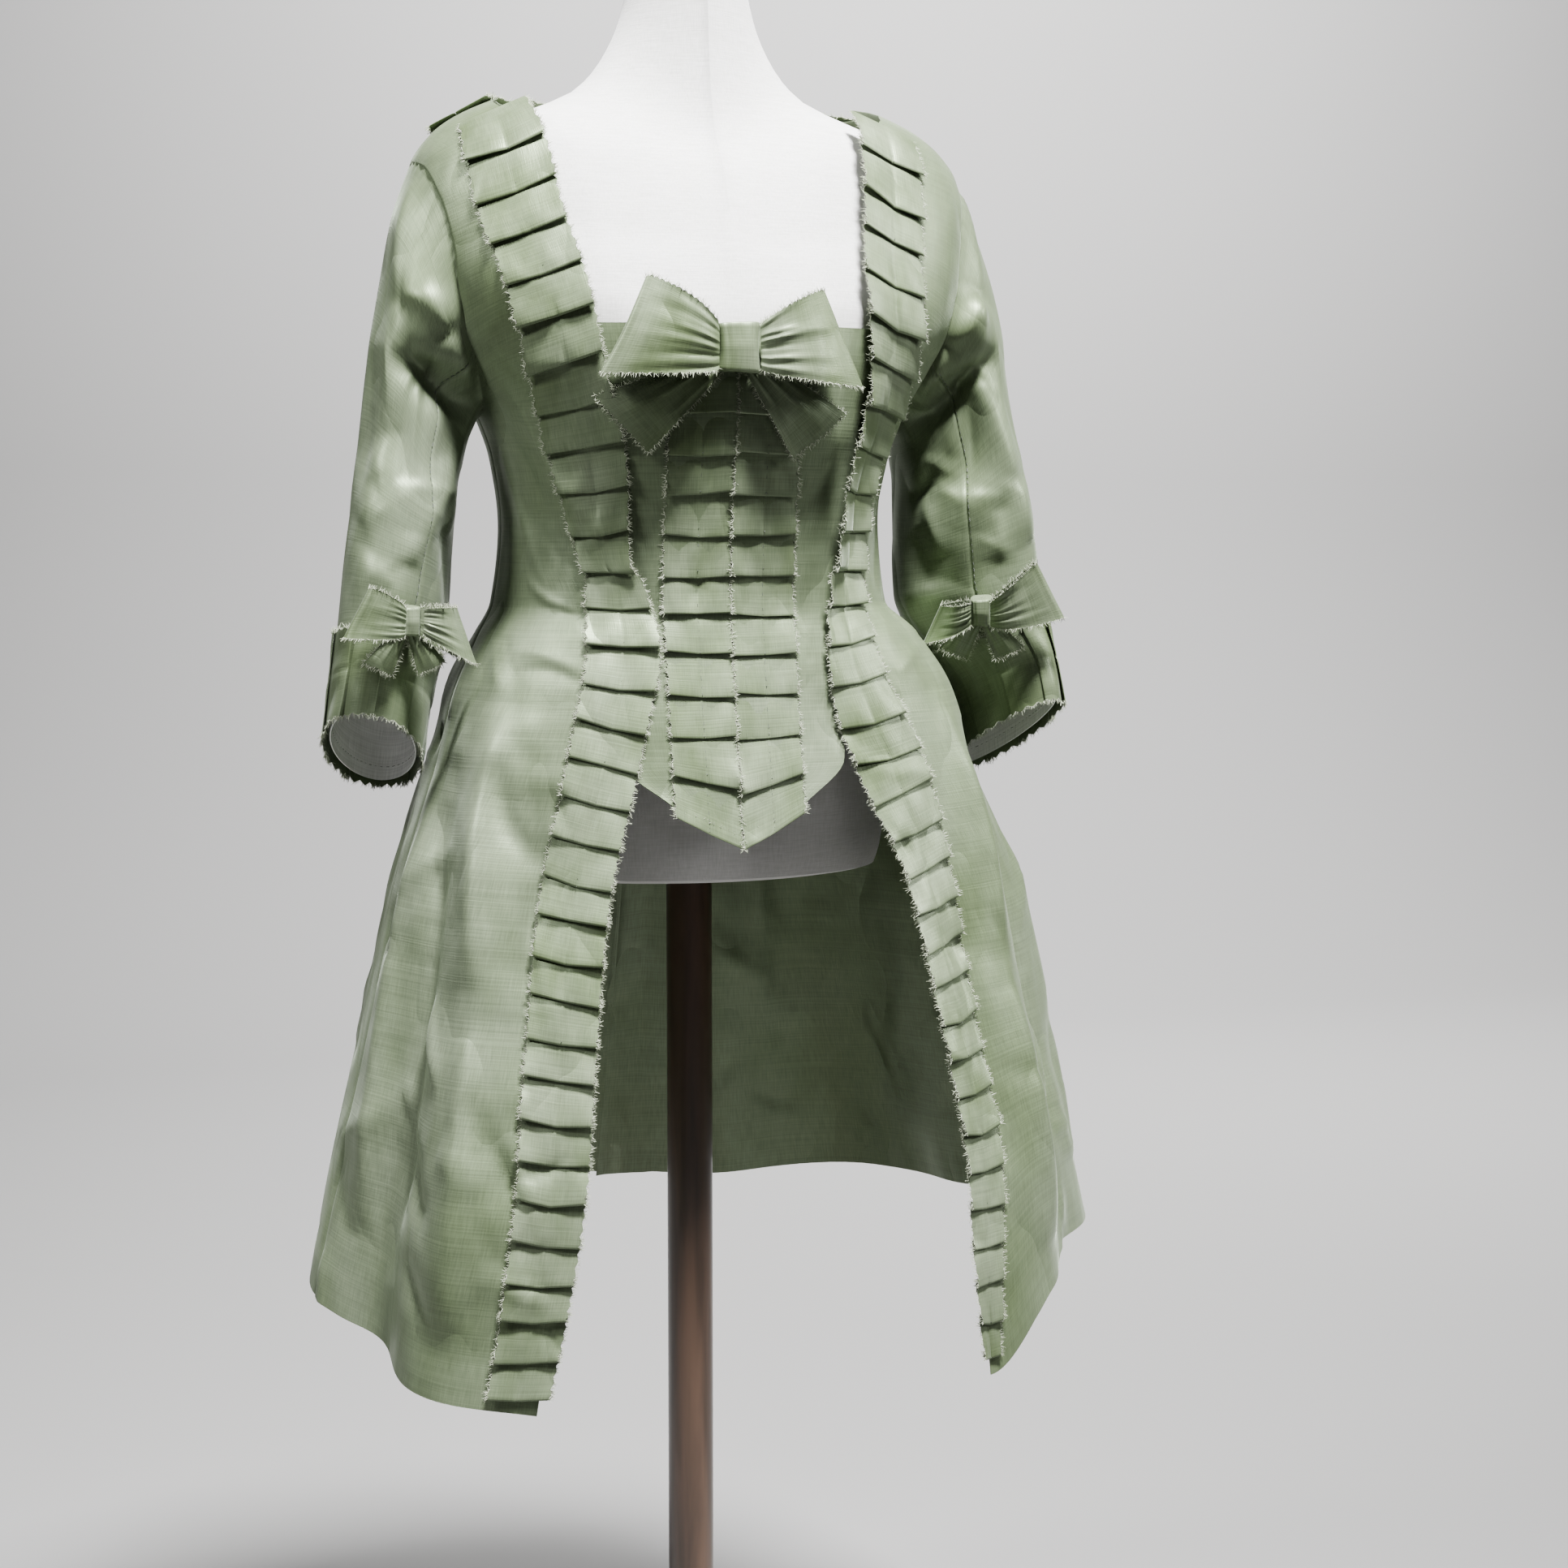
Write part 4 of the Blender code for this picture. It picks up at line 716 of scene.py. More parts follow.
for (side, sign), seed in zip(SIDES, (5, 8)):
    grid = pleated(robing_surface(sign, side), ROBING_RUNS, seed=seed)
    strip("robing_" + side, "robing_" + side, grid, sign < 0,
          seed)

NECK_TRIM = Table("angle low high", [(97, 1.343, 1.3655), (120, 1.335, 1.374), (180, 1.332, 1.3785),
                                     (240, 1.335, 1.374), (263, 1.343, 1.3655)])
NECK_PLEATS = 12


def neck_surface(at, share, out):
    low, high = NECK_TRIM.at(at, "low"), NECK_TRIM.at(at, "high")
    angle = (at + 180) % 360 - 180
    return lift(angle, low + (high - low) * share, FORM_GAP + CLOTH + SHOULDER_EASE * 1.4 + out)


strip("neck", "neck_trim", pleated(neck_surface, ((97.0, 263.0, NECK_PLEATS),), seed=4, unit=220.0), False)


# The stomacher: a stiffened panel with a straight top, ending in a point, and on it
# two pleated columns that meet on the centre line and run down into the point.
STOMACHER = Table("height half_width", [  # in thousandths
    (822, 20), (845, 52), (875, 84), (930, 88), (1000, 92), (1100, 106), (1194, 122)], unit=0.001)
CENTRE_X = -0.003
TRIM_HALF_WIDTH, TRIM_HALF_GAP = 0.049, 0.0004
TRIM_TOP, TRIM_CORNER, TRIM_POINT = 1.190, 0.836, 0.812
TRIM_PLEATS = 12

height = np.linspace(0.822, 1.194, 90)[:, None]
share = np.linspace(-1, 1, 41)[None, :]
angle, level = place(CENTRE_X + STOMACHER.at(height, "half_width") * share, height + 0 * share)
soft = 0.0006 * np.sin(9 * share + 14 * height) * np.clip(np.abs(share) * 2 - 0.9, 0, 1)
grid = lift(angle, level, FORM_GAP + CLOTH + soft)
stomacher = cloth("silk_stomacher", grid, TAFFETA, "taffeta", wall=0.0013)
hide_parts("stomacher")
top_line = running_stitch("stitches_stomacher_top", grid[-4] * [1, 1.0012, 1], slot="taffeta")


def column_surface(sign):
    def surface(at, share, out):
        drop = np.clip((0.90 - at) / (0.90 - TRIM_CORNER), 0, 1)
        x = CENTRE_X + sign * (TRIM_HALF_GAP + (TRIM_HALF_WIDTH - TRIM_HALF_GAP) * share)
        angle, level = place(x, at - (TRIM_CORNER - TRIM_POINT) * drop * (1 - share))
        return lift(angle, level, FORM_GAP + CLOTH + out)
    return surface


for (side, sign), seed in zip(SIDES, (21, 34)):
    grid = pleated(column_surface(sign), ((TRIM_TOP, TRIM_CORNER, TRIM_PLEATS),), seed=seed,
                   kink=0.0007, lean=0.0022, heights=(0.0036, 0.0026))
    strip("stomacher_" + side, "stomacher_trim_" + side, grid, sign < 0,
          seed, more_edges=[(-3, -9)])


# The sleeves: an upper and an under piece of the same silk, seamed at the front
# and the back, eased into the armhole and falling in deep slanting folds to the
# elbow. A grey linen lining shows inside each cuff, its colour painted paler to
# make up for the shade inside the sleeve.
SLEEVES = Table(
    "along right_outer right_inner right_depth left_outer left_inner left_depth "
    "outer_z inner_z skew slant", [  # in thousandths
    (0, 213, 167, 68, 213, 167, 68, 1320, 1134, 0, 0),
    (50, 219, 172, 68, 219, 172, 68, 1303, 1124, 0, 0),
    (120, 228, 176, 67, 230, 176, 67, 1275, 1110, 3, 0),
    (220, 238, 180, 66, 243, 180, 65, 1225, 1093, 6, 0),
    (350, 248, 184, 64, 256, 183, 61, 1160, 1070, 10, 0),
    (500, 258, 187, 62, 271, 183, 56, 1085, 1035, 13, 2),
    (650, 267, 190, 62, 282, 184, 51, 1020, 995, 15, 6),
    (800, 273, 200, 62, 287, 210, 51, 965, 950, 15, 14),
    (920, 278, 208, 62, 290, 232, 54, 925, 915, 15, 24),
    (1000, 281, 213, 62, 292, 239, 57, 895, 888, 15, 30),
    (1060, 283, 218, 62, 293, 244, 58, 873, 868, 15, 34)], unit=0.001)
HOLE_OUTSET, SET_IN_LIFT, UNDERARM_LIFT, SET_IN_LENGTH = 0.0008, -0.0021, 0.0008, 0.10
FRONT_SEAM, BACK_SEAM = 120.0, 240.0


def armhole_ring(sign):
    """Where the sleeve's top edge meets the armhole, all round, as a table by turn."""
    turn = np.arange(0, 361, 3.0)
    hole_angle, hole_level = armhole(turn, -HOLE_OUTSET)
    over = SET_IN_LIFT + UNDERARM_LIFT * np.clip(-np.cos(np.radians(turn)), 0, 1)
    points = lift(sign * hole_angle, hole_level, FORM_GAP + CLOTH + over)
    return Table("turn x y z", np.column_stack([turn, points]))


ARMHOLES = {-1: armhole_ring(-1), 1: armhole_ring(1)}


def sleeve(sign, turn, along):
    """Points of a sleeve's inner face; turn is 0 outside, 90 in front, 180 at the body."""
    turn, along = np.broadcast_arrays(np.asarray(turn, float), np.asarray(along, float))
    sine, cosine = np.sin(np.radians(turn)), np.cos(np.radians(turn))
    size = {name: SLEEVES.at(along, name) for name in SLEEVES.columns}
    side = "left" if sign > 0 else "right"
    outer_x, inner_x = size[side + "_outer"], size[side + "_inner"]
    x = (outer_x + inner_x) / 2 + (outer_x - inner_x) / 2 * cosine
    z = (size["outer_z"] + size["inner_z"]) / 2 + (size["outer_z"] - size["inner_z"]) / 2 * cosine
    ring = np.stack([sign * (x + size["skew"] * sine), -size[side + "_depth"] * sine,
                     z + size["slant"] * sine], axis=-1)
    start = np.stack([ARMHOLES[sign].at(turn % 360, axis) for axis in "xyz"], axis=-1)
    joined = (np.clip(along / SET_IN_LENGTH, 0, 1) ** 0.6)[..., None]
    return start * (1 - joined) + ring * joined


# Folds of the sleeves: from and to in turn and along, height, half width, bend
SLEEVE_CREASE_UNITS = (1, 1e-3, 1, 1e-3, 1e-4, 1e-4, 1e-3)
SLEEVE_CREASES = {
    -1: [
    (20, 50, 50, 195, 32, 149, 4), (50, 190, 96, 100, 62, 135, -6), (96, 108, 140, 55, 32, 121, 0),
    (50, 300, 152, 75, -150, 170, 4), (92, 180, 104, 430, -75, 300, 4), (52, 200, 58, 400, 29, 135, 4),
    (72, 235, 90, 470, -27, 135, 4), (84, 260, 100, 420, 24, 121, 0), (150, 150, 104, 620, 46, 149, 6),
    (135, 160, 116, 460, -35, 135, 6), (104, 540, 96, 760, 24, 135, 2), (44, 440, 76, 465, 13, 121, 3),
    (50, 480, 72, 520, -14, 121, 2), (76, 485, 44, 570, 12, 135, 3), (48, 640, 88, 685, 13, 135, -4),
    (40, 600, 80, 640, -13, 149, -3), (86, 660, 112, 600, -12, 108, 0), (28, 300, 40, 520, -16, 162, 4),
    (10, 200, 14, 560, 18, 175, 0), (130, 300, 160, 480, 24, 162, 4), (140, 480, 170, 700, -21, 162, 4),
    (-30, 300, -60, 480, 27, 175, 6), (-20, 420, -70, 620, -27, 175, 6), (-80, 200, -120, 360, 27, 162, 6),
    (-50, 640, -100, 720, 24, 162, 4), (200, 200, 240, 420, 24, 162, 4), (190, 460, 230, 620, -24, 162, 4)],
    1: [
    (10, 30, 66, 120, 32, 149, 4), (66, 115, 104, 75, 62, 135, -4), (104, 78, 150, 45, 34, 121, 0),
    (58, 250, 160, 65, -140, 170, 4), (98, 170, 112, 430, -80, 300, 4), (70, 115, 86, 225, 48, 135, 4),
    (86, 220, 66, 470, 52, 162, 4), (66, 460, 56, 600, 32, 162, 2), (88, 230, 132, 390, -46, 162, 4),
    (96, 240, 116, 520, 21, 162, 4), (92, 500, 97, 620, 22, 108, 0), (78, 470, 104, 560, -29, 149, 3),
    (118, 420, 134, 640, 24, 149, 3), (52, 240, 44, 440, -21, 149, 4), (150, 190, 176, 300, 30, 149, 4),
    (146, 260, 174, 340, -32, 135, 3), (160, 340, 146, 560, 27, 135, 3), (170, 460, 156, 640, -22, 149, 3),
    (20, 120, 34, 300, 19, 162, 0), (-30, 260, -60, 460, 27, 175, 6), (-20, 440, -70, 600, -27, 175, 6),
    (-80, 200, -120, 360, 27, 162, 6), (-50, 620, -100, 700, 24, 162, 4)]}
SLEEVE_CREASES = {sign: (np.array(lines) * SLEEVE_CREASE_UNITS).tolist()
                  for sign, lines in SLEEVE_CREASES.items()}
SMALL_FOLDS = 16
random = np.random.default_rng(29)
for lines in SLEEVE_CREASES.values():
    for _ in range(SMALL_FOLDS):
        t, a = random.uniform(-110, 240), random.uniform(0.12, 0.82)
        lean, size = random.uniform(-0.5, 0.5), random.uniform(0.12, 0.28)
        lines.append((t, a, t + 150 * size * lean, a + size * (1 - abs(lean)) + 0.01,
                      random.uniform(0.0004, 0.0012) * random.choice([-1, 1]),
                      0.004 + 0.03 * size, 0.002))
FOLD_GAIN, DEEPEST_FOLD, HIGHEST_FOLD, EASE = 1.55, 0.036, 0.014, 0.0006


def sleeve_cloth(sign, turn, along, away, creased=1.0):
    """Points of a sleeve's cloth, moved out from its surface, with its folds."""
    around = sleeve(sign, turn + 1, along) - sleeve(sign, turn - 1, along)
    down = sleeve(sign, turn, along + 0.004) - sleeve(sign, turn, along - 0.004 * (along > 0.004))
    normal = np.cross(around, down) * sign
    normal /= np.linalg.norm(normal, axis=-1, keepdims=True)
    centre = sleeve(sign, turn, along)
    folds = crease_depth(centre, lambda t, a: sleeve(sign, t, a), SLEEVE_CREASES[sign])
    folds = (np.clip(FOLD_GAIN * folds, -DEEPEST_FOLD, HIGHEST_FOLD)
             * np.clip(along / 0.04, 0, 1) * np.clip((0.83 - along) / 0.08, 0, 1))
    ripples = np.sin(np.radians(turn) * 41 + 3 * np.sin(np.radians(turn) * 5))
    eased = EASE * np.exp(-((along - 0.012) / 0.022) ** 2) * ripples
    return centre + normal * (away + folds * creased + eased)[..., None]


LINING_TOP, LINING_END, LINING_WALL, LINING_GAP = 0.80, 1.024, 0.0010, 0.0009
# The lining's tones are lighter than the grey linen itself: painted light that brightens the shade inside
# the sleeve.
LINING = silk("grey linen lining painted pale against shade", (0.78, 0.775, 0.77), (0.70, 0.695, 0.69), (0.60, 0.595, 0.59),
              roughness=0.72, crinkle=0.35, metallic=0.0)
SLEEVE_PIECES = (  # name, turn at its first and last seam, columns, cut
    ("upper", BACK_SEAM - 360, FRONT_SEAM, 96, (0.33, 0.42, 0.092)),
    ("under", FRONT_SEAM, BACK_SEAM, 50, (0.17, 0.30, 0.034)))
SEAM_DIP, STITCHES_FROM_SEAM = 0.0008, 1.6
sleeve_rows = np.concatenate([[0, 0.006, 0.014, 0.025], np.linspace(0.04, 1.0, 100)])
for side, sign in SIDES:
    for label, first, last, columns, cut in SLEEVE_PIECES:
        share = np.concatenate([[0, 0.005, 0.012], np.linspace(0.03, 0.97, columns), [0.988, 0.995, 1]])
        turn, along = np.meshgrid(first + (last - first) * share, sleeve_rows)
        dip = np.exp(-((turn - first) / 0.9) ** 2) + np.exp(-((turn - last) / 0.9) ** 2)
        grid = sleeve_cloth(sign, turn, along, CLOTH - SEAM_DIP * dip)
        grid = grid if sign < 0 else grid[:, ::-1]
        piece = cloth("silk_sleeve_%s_%s" % (label, side), grid, TAFFETA, "taffeta")
        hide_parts("sleeve_%s_%s" % (label, side))
        if label == "under":
            continue
        beside = sleeve_cloth(sign, np.full_like(sleeve_rows, FRONT_SEAM - STITCHES_FROM_SEAM), sleeve_rows,
                              np.full_like(sleeve_rows, CLOTH + 0.0002))
        seam = running_stitch("stitches_sleeve_" + side, beside[8:84], spacing=0.0050, length=0.0024,
                              slot="taffeta")
    turn, along = np.meshgrid(np.arange(0, 360, 4.0), np.linspace(LINING_TOP, LINING_END, 28))
    grid = sleeve_cloth(sign, turn, along, -LINING_GAP - LINING_WALL + 0 * turn, 0.0)
    grid = grid if sign > 0 else grid[:, ::-1]
    lining = cloth("linen_lining_" + side, grid, LINING, "lining", wall=LINING_WALL * 0.9,
                   round_columns=True)
    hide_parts("sleeve_lining_" + side)
    hem = sew("stitches_lining_" + side, [(grid[-4], grid[-4] * 0)], STITCHES, 0.0048, 0.0022, 0.00022,
              0.15, DARK_THREAD, "lining")


# The cuff trims: the silk again, pinked on both edges, laid in broad knife pleats
# round each sleeve and sewn down along the middle of the band.
CUFF_TOP, CUFF_BOTTOM, CUFF_GAP, CUFF_PLEATS = 0.80, 1.035, 0.0013, 10


def cuff_surface(sign):
    def surface(at, share, out):
        along = CUFF_TOP + (CUFF_BOTTOM - CUFF_TOP) * share
        return sleeve_cloth(sign, at, along, CLOTH + CUFF_GAP - STRIP_GAP + out, 0.0)
    return surface


for side, sign in SIDES:
    grid = pleated(cuff_surface(sign), ((BACK_SEAM, BACK_SEAM + 363.5, CUFF_PLEATS),), seed=50 + sign,
                   unit=420.0, heights=(0.0034, 0.0020))
    strip("cuff_" + side, "cuff_trim_" + side, grid, sign < 0,
          sewn=False)


# The bows: a large one at the top of the stomacher and one on each cuff. Each is a
# pinked strip folded into two loops, two slanting tails laid under them, and a
# narrow band pulled tight round the middle, which gathers the strip.
BOW_CENTRE = (CENTRE_X - 0.004, 1.176)
BOW_BASE = FORM_GAP + 2 * CLOTH + STRIP_GAP + 0.0039
LOOP_LEAN, TURN_RADIUS, TOOTH, EDGE_TOOTH = 0.45, 0.0035, 0.0009, 0.018


def on_chest(across, up, away):
    angle, level = place(BOW_CENTRE[0] + across, BOW_CENTRE[1] + up)
    return lift(angle, level, BOW_BASE + away, creased=False)


def loop_path(length, puff, lowest, steps=26, turn_steps=7):
    """Along the front layer, round the fold at the end and back: across and away."""
    out = np.linspace(0, 1, steps)
    front = np.stack([out * length, 2 * TURN_RADIUS + puff * np.sin(math.pi * out ** 0.8)], axis=1)
    bend = np.linspace(0, math.pi, turn_steps + 2)[1:-1]
    end = np.stack([length + TURN_RADIUS * np.sin(bend),
                    TURN_RADIUS + TURN_RADIUS * np.cos(bend)], axis=1)
    back = np.stack([out[::-1] * length, 0 * out], axis=1)
    back[-1, 0] = 0.004
    return np.concatenate([front, end, back]) + [0, lowest]


def pinked_edges(share):
    rows = np.arange(share.shape[0])[:, None]
    columns = np.arange(share.shape[1])
    edge = ((columns == 0) | (columns == columns[-1])) * 1.0
    return share * (1 + edge * np.where(rows % 2, EDGE_TOOTH, -EDGE_TOOTH))


def bow_part(name, grid, turned, seed, more_edges=()):
    """A layer of a bow with its thread ends."""
    grid = grid[:, ::-1] if turned else grid
    piece = cloth(name, grid, PLEATED, "trim", wall=STRIP_SILK)
    edges = side_edges(grid) + [raw_edge(grid[edge], grid[beside]) for edge, beside in more_edges]
    return piece, fray("raw_edges_" + name, edges, seed)


def bow_loop(name, surface, start, direction, length, widths, tilt, puff, lowest, seed):
    """A strip folded back on itself, gathered at the knot and wide at its fold."""
    random = np.random.default_rng(seed)
    path = loop_path(length, puff, lowest)
    share = pinked_edges(np.linspace(-0.5, 0.5, 37)[None, :] + 0 * path[:, :1])
    reach = np.clip(path[:, 0] / length, 0, 1)[:, None]
    width = widths[0] + (widths[1] - widths[0]) * reach ** 0.7
    front = (path[:, 1] > lowest + 0.004)[:, None] * 1.0
    folds = 0 * share
    for at in np.linspace(-0.42, 0.42, 6) + random.uniform(-0.05, 0.05, 6):
        drift = random.uniform(-0.12, 0.12) * reach
        deep = random.uniform(0.6, 1.3) * puff * 0.17 * random.choice([1, -1, 1])
        fade = (1 - reach) ** random.uniform(0.5, 1.4) * np.clip(reach / 0.1 + 0.3, 0, 1)
        folds = folds + deep * fade * np.exp(-((share - at - drift) / (0.030 + 0.045 * reach)) ** 2)
    folds = folds + 0.05 * puff * np.sin(5 * share + 3 * reach + random.uniform(0, 6)) * reach
    curl = 0.0010 * reach * np.abs(2 * share) ** 4
    up = share * width + tilt * reach * length
    across = start + path[:, :1] - LOOP_LEAN * width * reach * share
    away = path[:, 1:] + np.where(front > 0, folds + curl, 0.25 * np.clip(folds, 0, 1))
    return bow_part(name, surface(direction * across, up, away), direction < 0, seed)


def bow_tail(name, surface, start, direction, drop, length, widths, seed):
    """A strip hanging out and down from the knot, cut on the slant at its end."""
    random = np.random.default_rng(seed)
    rows, columns = 34, 25
    reach = np.linspace(0, 1, rows)[:, None]
    share = pinked_edges(np.linspace(-0.5, 0.5, columns)[None, :] + 0 * reach)
    lean = math.atan2(drop, 1.0)
    width = widths[0] + (widths[1] - widths[0]) * reach
    teeth = TOOTH * (reach == 1) * np.where(np.arange(columns) % 2, 1, -1)[None, :]
    along = start + reach * length * (1 + 0.10 * share * reach) + teeth
    across = along * math.cos(lean) + share * width * math.sin(lean)
    up = -along * math.sin(lean) + share * width * math.cos(lean)
    ripple = 0.0014 * np.sin(2.0 * math.pi * share + 0.8) * reach + 0.0016
    for at in (-0.28, 0.06, 0.31):
        at = at + random.uniform(-0.06, 0.06)
        ripple = ripple + 0.0011 * (1 - reach) ** 0.8 * np.exp(-((share - at) / (0.05 + 0.03 * reach)) ** 2)
    grid = surface(direction * across, up, ripple + 0 * across)
    return bow_part(name, grid, direction < 0, seed, more_edges=[(-1, -3)])


def bow_knot(name, surface, half_width, half_height, depth, sink):
    """The band pulled round the middle of a bow: flat in front, with lengthwise creases."""
    rows = np.concatenate([[-1, -1.01, -1.0], np.linspace(-0.96, 0.96, 15), [1.0, 1.01, 1]])
    inside = np.array([0.05, 0.6, 0.93] + [1.0] * 15 + [0.93, 0.6, 0.05])
    turns = np.linspace(0, 2 * math.pi, 48, endpoint=False)
    row, turn = np.meshgrid(rows, turns, indexing="ij")
    squared = lambda value: np.sign(value) * np.abs(value) ** 0.62
    across = half_width * inside[:, None] * (1 - 0.13 * (1 - row ** 2)) * squared(np.cos(turn))
    face = 0.5 * (1 + inside[:, None] * squared(np.sin(turn)))
    creases = 0.0012 * np.exp(-((across / half_width - 0.12 - 0.1 * row) / 0.10) ** 2)
    creases = creases + 0.0008 * np.exp(-((across / half_width + 0.52 + 0.08 * row) / 0.09) ** 2)
    away = (depth + sink) * face * (1 - 0.08 * np.abs(row)) - sink - creases * (np.sin(turn) > 0.1)
    grid = surface(across, row * half_height * (1 + 0.04 * across / half_width), away)
    return cloth(name, grid, PLEATED, "trim", wall=STRIP_SILK, round_columns=True)


def bow(prefix, nodes, surface, knot, loops, tails):
    """All five pieces of one bow, each in place of its own solid."""
    piece = bow_knot(prefix + "_knot", surface, *knot)
    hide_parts(nodes["knot"])
    for number, (end, values) in enumerate(loops.items()):
        piece, ends = bow_loop("%s_loop_%s" % (prefix, end), surface, *values,
                               seed=60 + number + len(prefix))
        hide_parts(nodes["loop_" + end])
    for number, (end, values) in enumerate(tails.items()):
        piece, ends = bow_tail("%s_tail_%s" % (prefix, end), surface, *values,
                               seed=80 + number + len(prefix))
        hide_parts(nodes["tail_" + end])


bow("silk_bow",
    {key: "bow_" + key for key in ("knot", "loop_right", "loop_left", "tail_right", "tail_left")},
    on_chest, (0.0165, 0.0165, 0.0160, 0.0018),
    {"right": (0.0150, -1, 0.060, (0.030, 0.060), 0.26, 0.011, 0.0058),
     "left": (0.0150, 1, 0.060, (0.030, 0.060), 0.14, 0.011, 0.0058)},
    {"right": (0.0150, -1, 0.68, 0.078, (0.014, 0.054)),
     "left": (0.0150, 1, 0.90, 0.074, (0.014, 0.052))})

CUFF_BOWS = {  # turn and place along the sleeve; loops: length, width, rise
    -1: (106, 0.755, {"inner": (0.034, 0.042, -0.30), "outer": (0.030, 0.036, 0.20)}),
    1: (120, 0.725, {"inner": (0.026, 0.030, -0.30), "outer": (0.042, 0.046, 0.35)})}
CUFF_BOW_BASE = 2 * CLOTH + CUFF_GAP + 0.0068
CUFF_BOW_BEND = 0.12


def on_sleeve(sign, turn, along):
    """A gently bent sheet that touches the sleeve at the knot of its bow."""
    turn, along = np.array([float(turn)]), np.array([float(along)])
    knot = sleeve_cloth(sign, turn, along, 0.0, 0.0)[0]
    facing = sleeve_cloth(sign, turn, along, 1.0, 0.0)[0] - knot
    upward = np.array([0, 0, 1]) - facing * facing[2]
    upward /= np.linalg.norm(upward)
    sideways = np.cross(upward, facing)

    def surface(across, up, away):
        across, up, away = np.broadcast_arrays(across, up, away)
        outward = np.maximum(sign * across, 0)
        out = CUFF_BOW_BASE + away - outward ** 2 / (2 * CUFF_BOW_BEND)
        return (knot + across[..., None] * sideways + up[..., None] * upward
                + out[..., None] * facing)
    return surface


for side, sign in SIDES:
    turn, along, loop_sizes = CUFF_BOWS[sign]
    ways = {"outer": sign, "inner": -sign}
    bow("silk_cuff_bow_" + side,
        {key: "cuff_bow_%s_%s" % (key, side)
         for key in ("knot", "loop_outer", "loop_inner", "tail_outer", "tail_inner")},
        on_sleeve(sign, turn, along), (0.0085, 0.0105, 0.0105, CUFF_BOW_BASE - CLOTH - 0.0002),
        {end: (0.0075, ways[end], length + 0.0015, (0.018, width), rise, 0.007, 0.0043)
         for end, (length, width, rise) in loop_sizes.items()},
        {end: (0.0060, ways[end], 1.6, 0.036, (0.010, 0.024)) for end in ways})


# The dress form: a padded torso with a neck, in a plain off-white linen cover,
# on a turned wooden pole that stands in a round wooden base.
FORM_HIPS = Table("level half_width front back", [
    (0.780, 0.128, 0.090, 0.088), (0.784, 0.150, 0.106, 0.100), (0.830, 0.158, 0.110, 0.104),
    (0.880, 0.160, 0.113, 0.104), (0.940, 0.155, 0.114, 0.098), (0.975, 0.150, 0.116, 0.095)])
FORM_INSET, FORM_SIDE_INSET, FORM_SHOULDER_INSET = 0.0006, 0.0036, 0.0090
POLE_RADIUS, POLE_TOP = 0.018, 0.7797
BASE_RADIUS, BASE_HEIGHT = 0.190, 0.030


def closed_rings(name, rings, finish, slot, node):
    """A closed body through rings of points, from the bottom ring to the top one."""
    count = len(rings[0])
    points = np.concatenate(rings)
    faces = [[i * count + j, i * count + (j + 1) % count, (i + 1) * count + (j + 1) % count,
              (i + 1) * count + j] for i in range(len(rings) - 1) for j in range(count)]
    last = (len(rings) - 1) * count
    faces += [list(range(count))[::-1], [last + j for j in range(count)]]
    mesh = bpy.data.meshes.new(name)
    mesh.from_pydata(points.tolist(), [], faces)
    mesh.shade_smooth()
    mesh.set_sharp_from_angle(angle=math.radians(50))
    mesh.materials.append(finish)
    piece = stand(name, mesh, slot)
    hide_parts(node)
    return piece


FORM, add, set_shader = new_finish("off-white linen cover")
where = add("ShaderNodeTexCoord").outputs["Object"]
weave = [add("ShaderNodeTexNoise", {"Vector": add("ShaderNodeMapping", {"Vector": where, "Scale": stretch}),
                                    "Scale": 1.0}) for stretch in ((60, 60, 900), (900, 900, 60))]
both = add("ShaderNodeMath", {0: weave[0], 1: weave[1]}, operation="ADD")
tones = add("ShaderNodeMapRange", {"Value": both, "From Min": 0.6, "From Max": 1.4})
set_shader({"Base Color": ramp(add, tones, (0, (0.38, 0.375, 0.36, 1)), (1, (0.50, 0.495, 0.485, 1))),
            "Normal": add("ShaderNodeBump", {"Height": both, "Strength": 0.4, "Distance": 0.0003}),
            "Roughness": 0.85, "Sheen Weight": 0.15})
angles = np.linspace(-180, 180, 120, endpoint=False)
sine, cosine = np.sin(np.radians(angles)), np.cos(np.radians(angles))
rings = []
for level in np.concatenate([[0.780, 0.781, 0.7825, 0.784], np.arange(0.790, 0.976, 0.008)]):
    depth = np.where(cosine > 0, FORM_HIPS.at(level, "front"), FORM_HIPS.at(level, "back"))
    rings.append(np.stack([FORM_HIPS.at(level, "half_width") * sine, -depth * cosine,
                           0 * sine + level], axis=1))
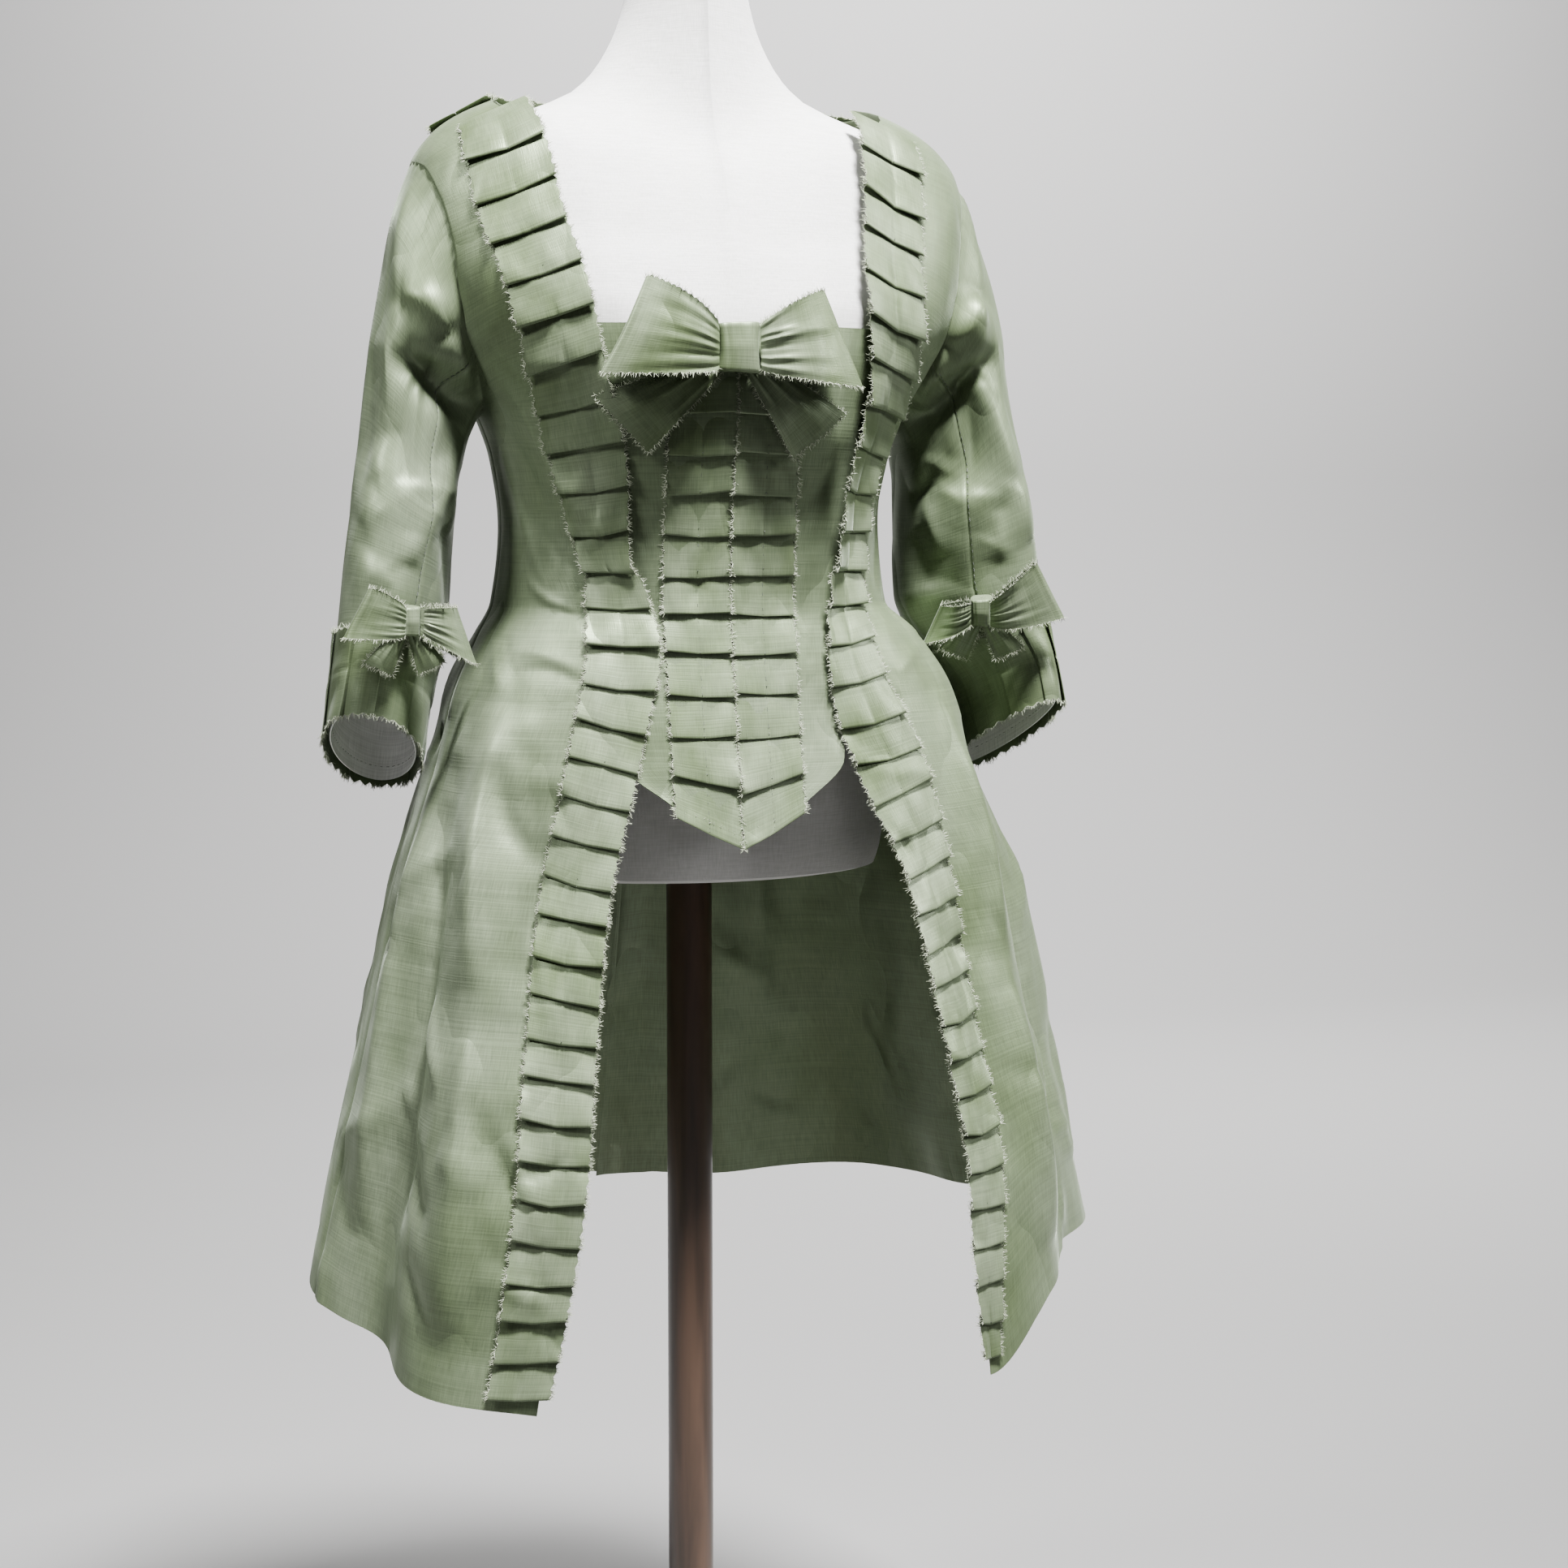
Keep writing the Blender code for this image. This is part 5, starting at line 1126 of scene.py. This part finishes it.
for level in np.concatenate([np.arange(0.990, 1.40, 0.0075), np.arange(1.40, 1.495, 0.008)]):
    shoulder = FORM_SHOULDER_INSET * min(max((level - 1.22) / 0.06, 0), 1)
    aside = np.maximum(np.abs(sine) ** 0.5, 0.9 * np.clip((-cosine - 0.1) / 0.1, 0, 1))
    inset = FORM_INSET + (FORM_SIDE_INSET + shoulder) * aside
    rings.append(lift(angles, level, -inset, creased=False))
top = rings[-1]
rings += [top * [0.97, 0.97, 1] + [0, 0, 0.003], top * [0.90, 0.90, 1] + [0, 0, 0.0052],
          top * [0.80, 0.80, 1.0] + [0, 0, 0.006]]
torso = closed_rings("linen_torso", rings, FORM, "form", "form_torso")


WOOD, add, set_shader = new_finish("dark turned wood")
along_grain = add("ShaderNodeMapping", {"Vector": add("ShaderNodeTexCoord").outputs["Object"],
                                        "Scale": (70, 70, 5)})
grain = add("ShaderNodeTexNoise", {"Vector": along_grain, "Scale": 1.0, "Detail": 6.0, "Distortion": 0.7})
wood_tones = ramp(add, grain, (0.35, (0.022, 0.012, 0.007, 1)), (0.68, (0.056, 0.031, 0.019, 1)))
set_shader({"Base Color": wood_tones, "Roughness": 0.38, "Coat Weight": 0.25})


def turned_wood(name, profile, node):
    turns = np.linspace(0, 2 * math.pi, 96, endpoint=False)
    closed_rings(name, [np.stack([r * np.cos(turns), r * np.sin(turns), 0 * turns + z], axis=1)
                        for r, z in profile], WOOD, "wood", node)


turned_wood("wooden_pole", [(POLE_RADIUS, BASE_HEIGHT + 0.0003), (POLE_RADIUS, POLE_TOP)], "form_pole")
quarter = lambda steps: np.linspace(0, math.pi / 2, steps)
edge = [(BASE_RADIUS - 0.004 + 0.004 * math.sin(t), 0.004 - 0.004 * math.cos(t)) for t in quarter(6)]
bead = [(BASE_RADIUS - 0.002 + 0.002 * math.cos(t), 0.0125 + 0.002 * math.sin(t)) for t in quarter(5)]
cove = [(BASE_RADIUS - 0.006 - 0.014 * (1 - math.cos(t)), 0.0150 + 0.0065 * math.sin(t))
        for t in quarter(8)]
turned_wood("wooden_base", edge + bead + cove + [(0.100, 0.0255), (0.046, 0.0290), (0.040, BASE_HEIGHT)],
            "form_base")
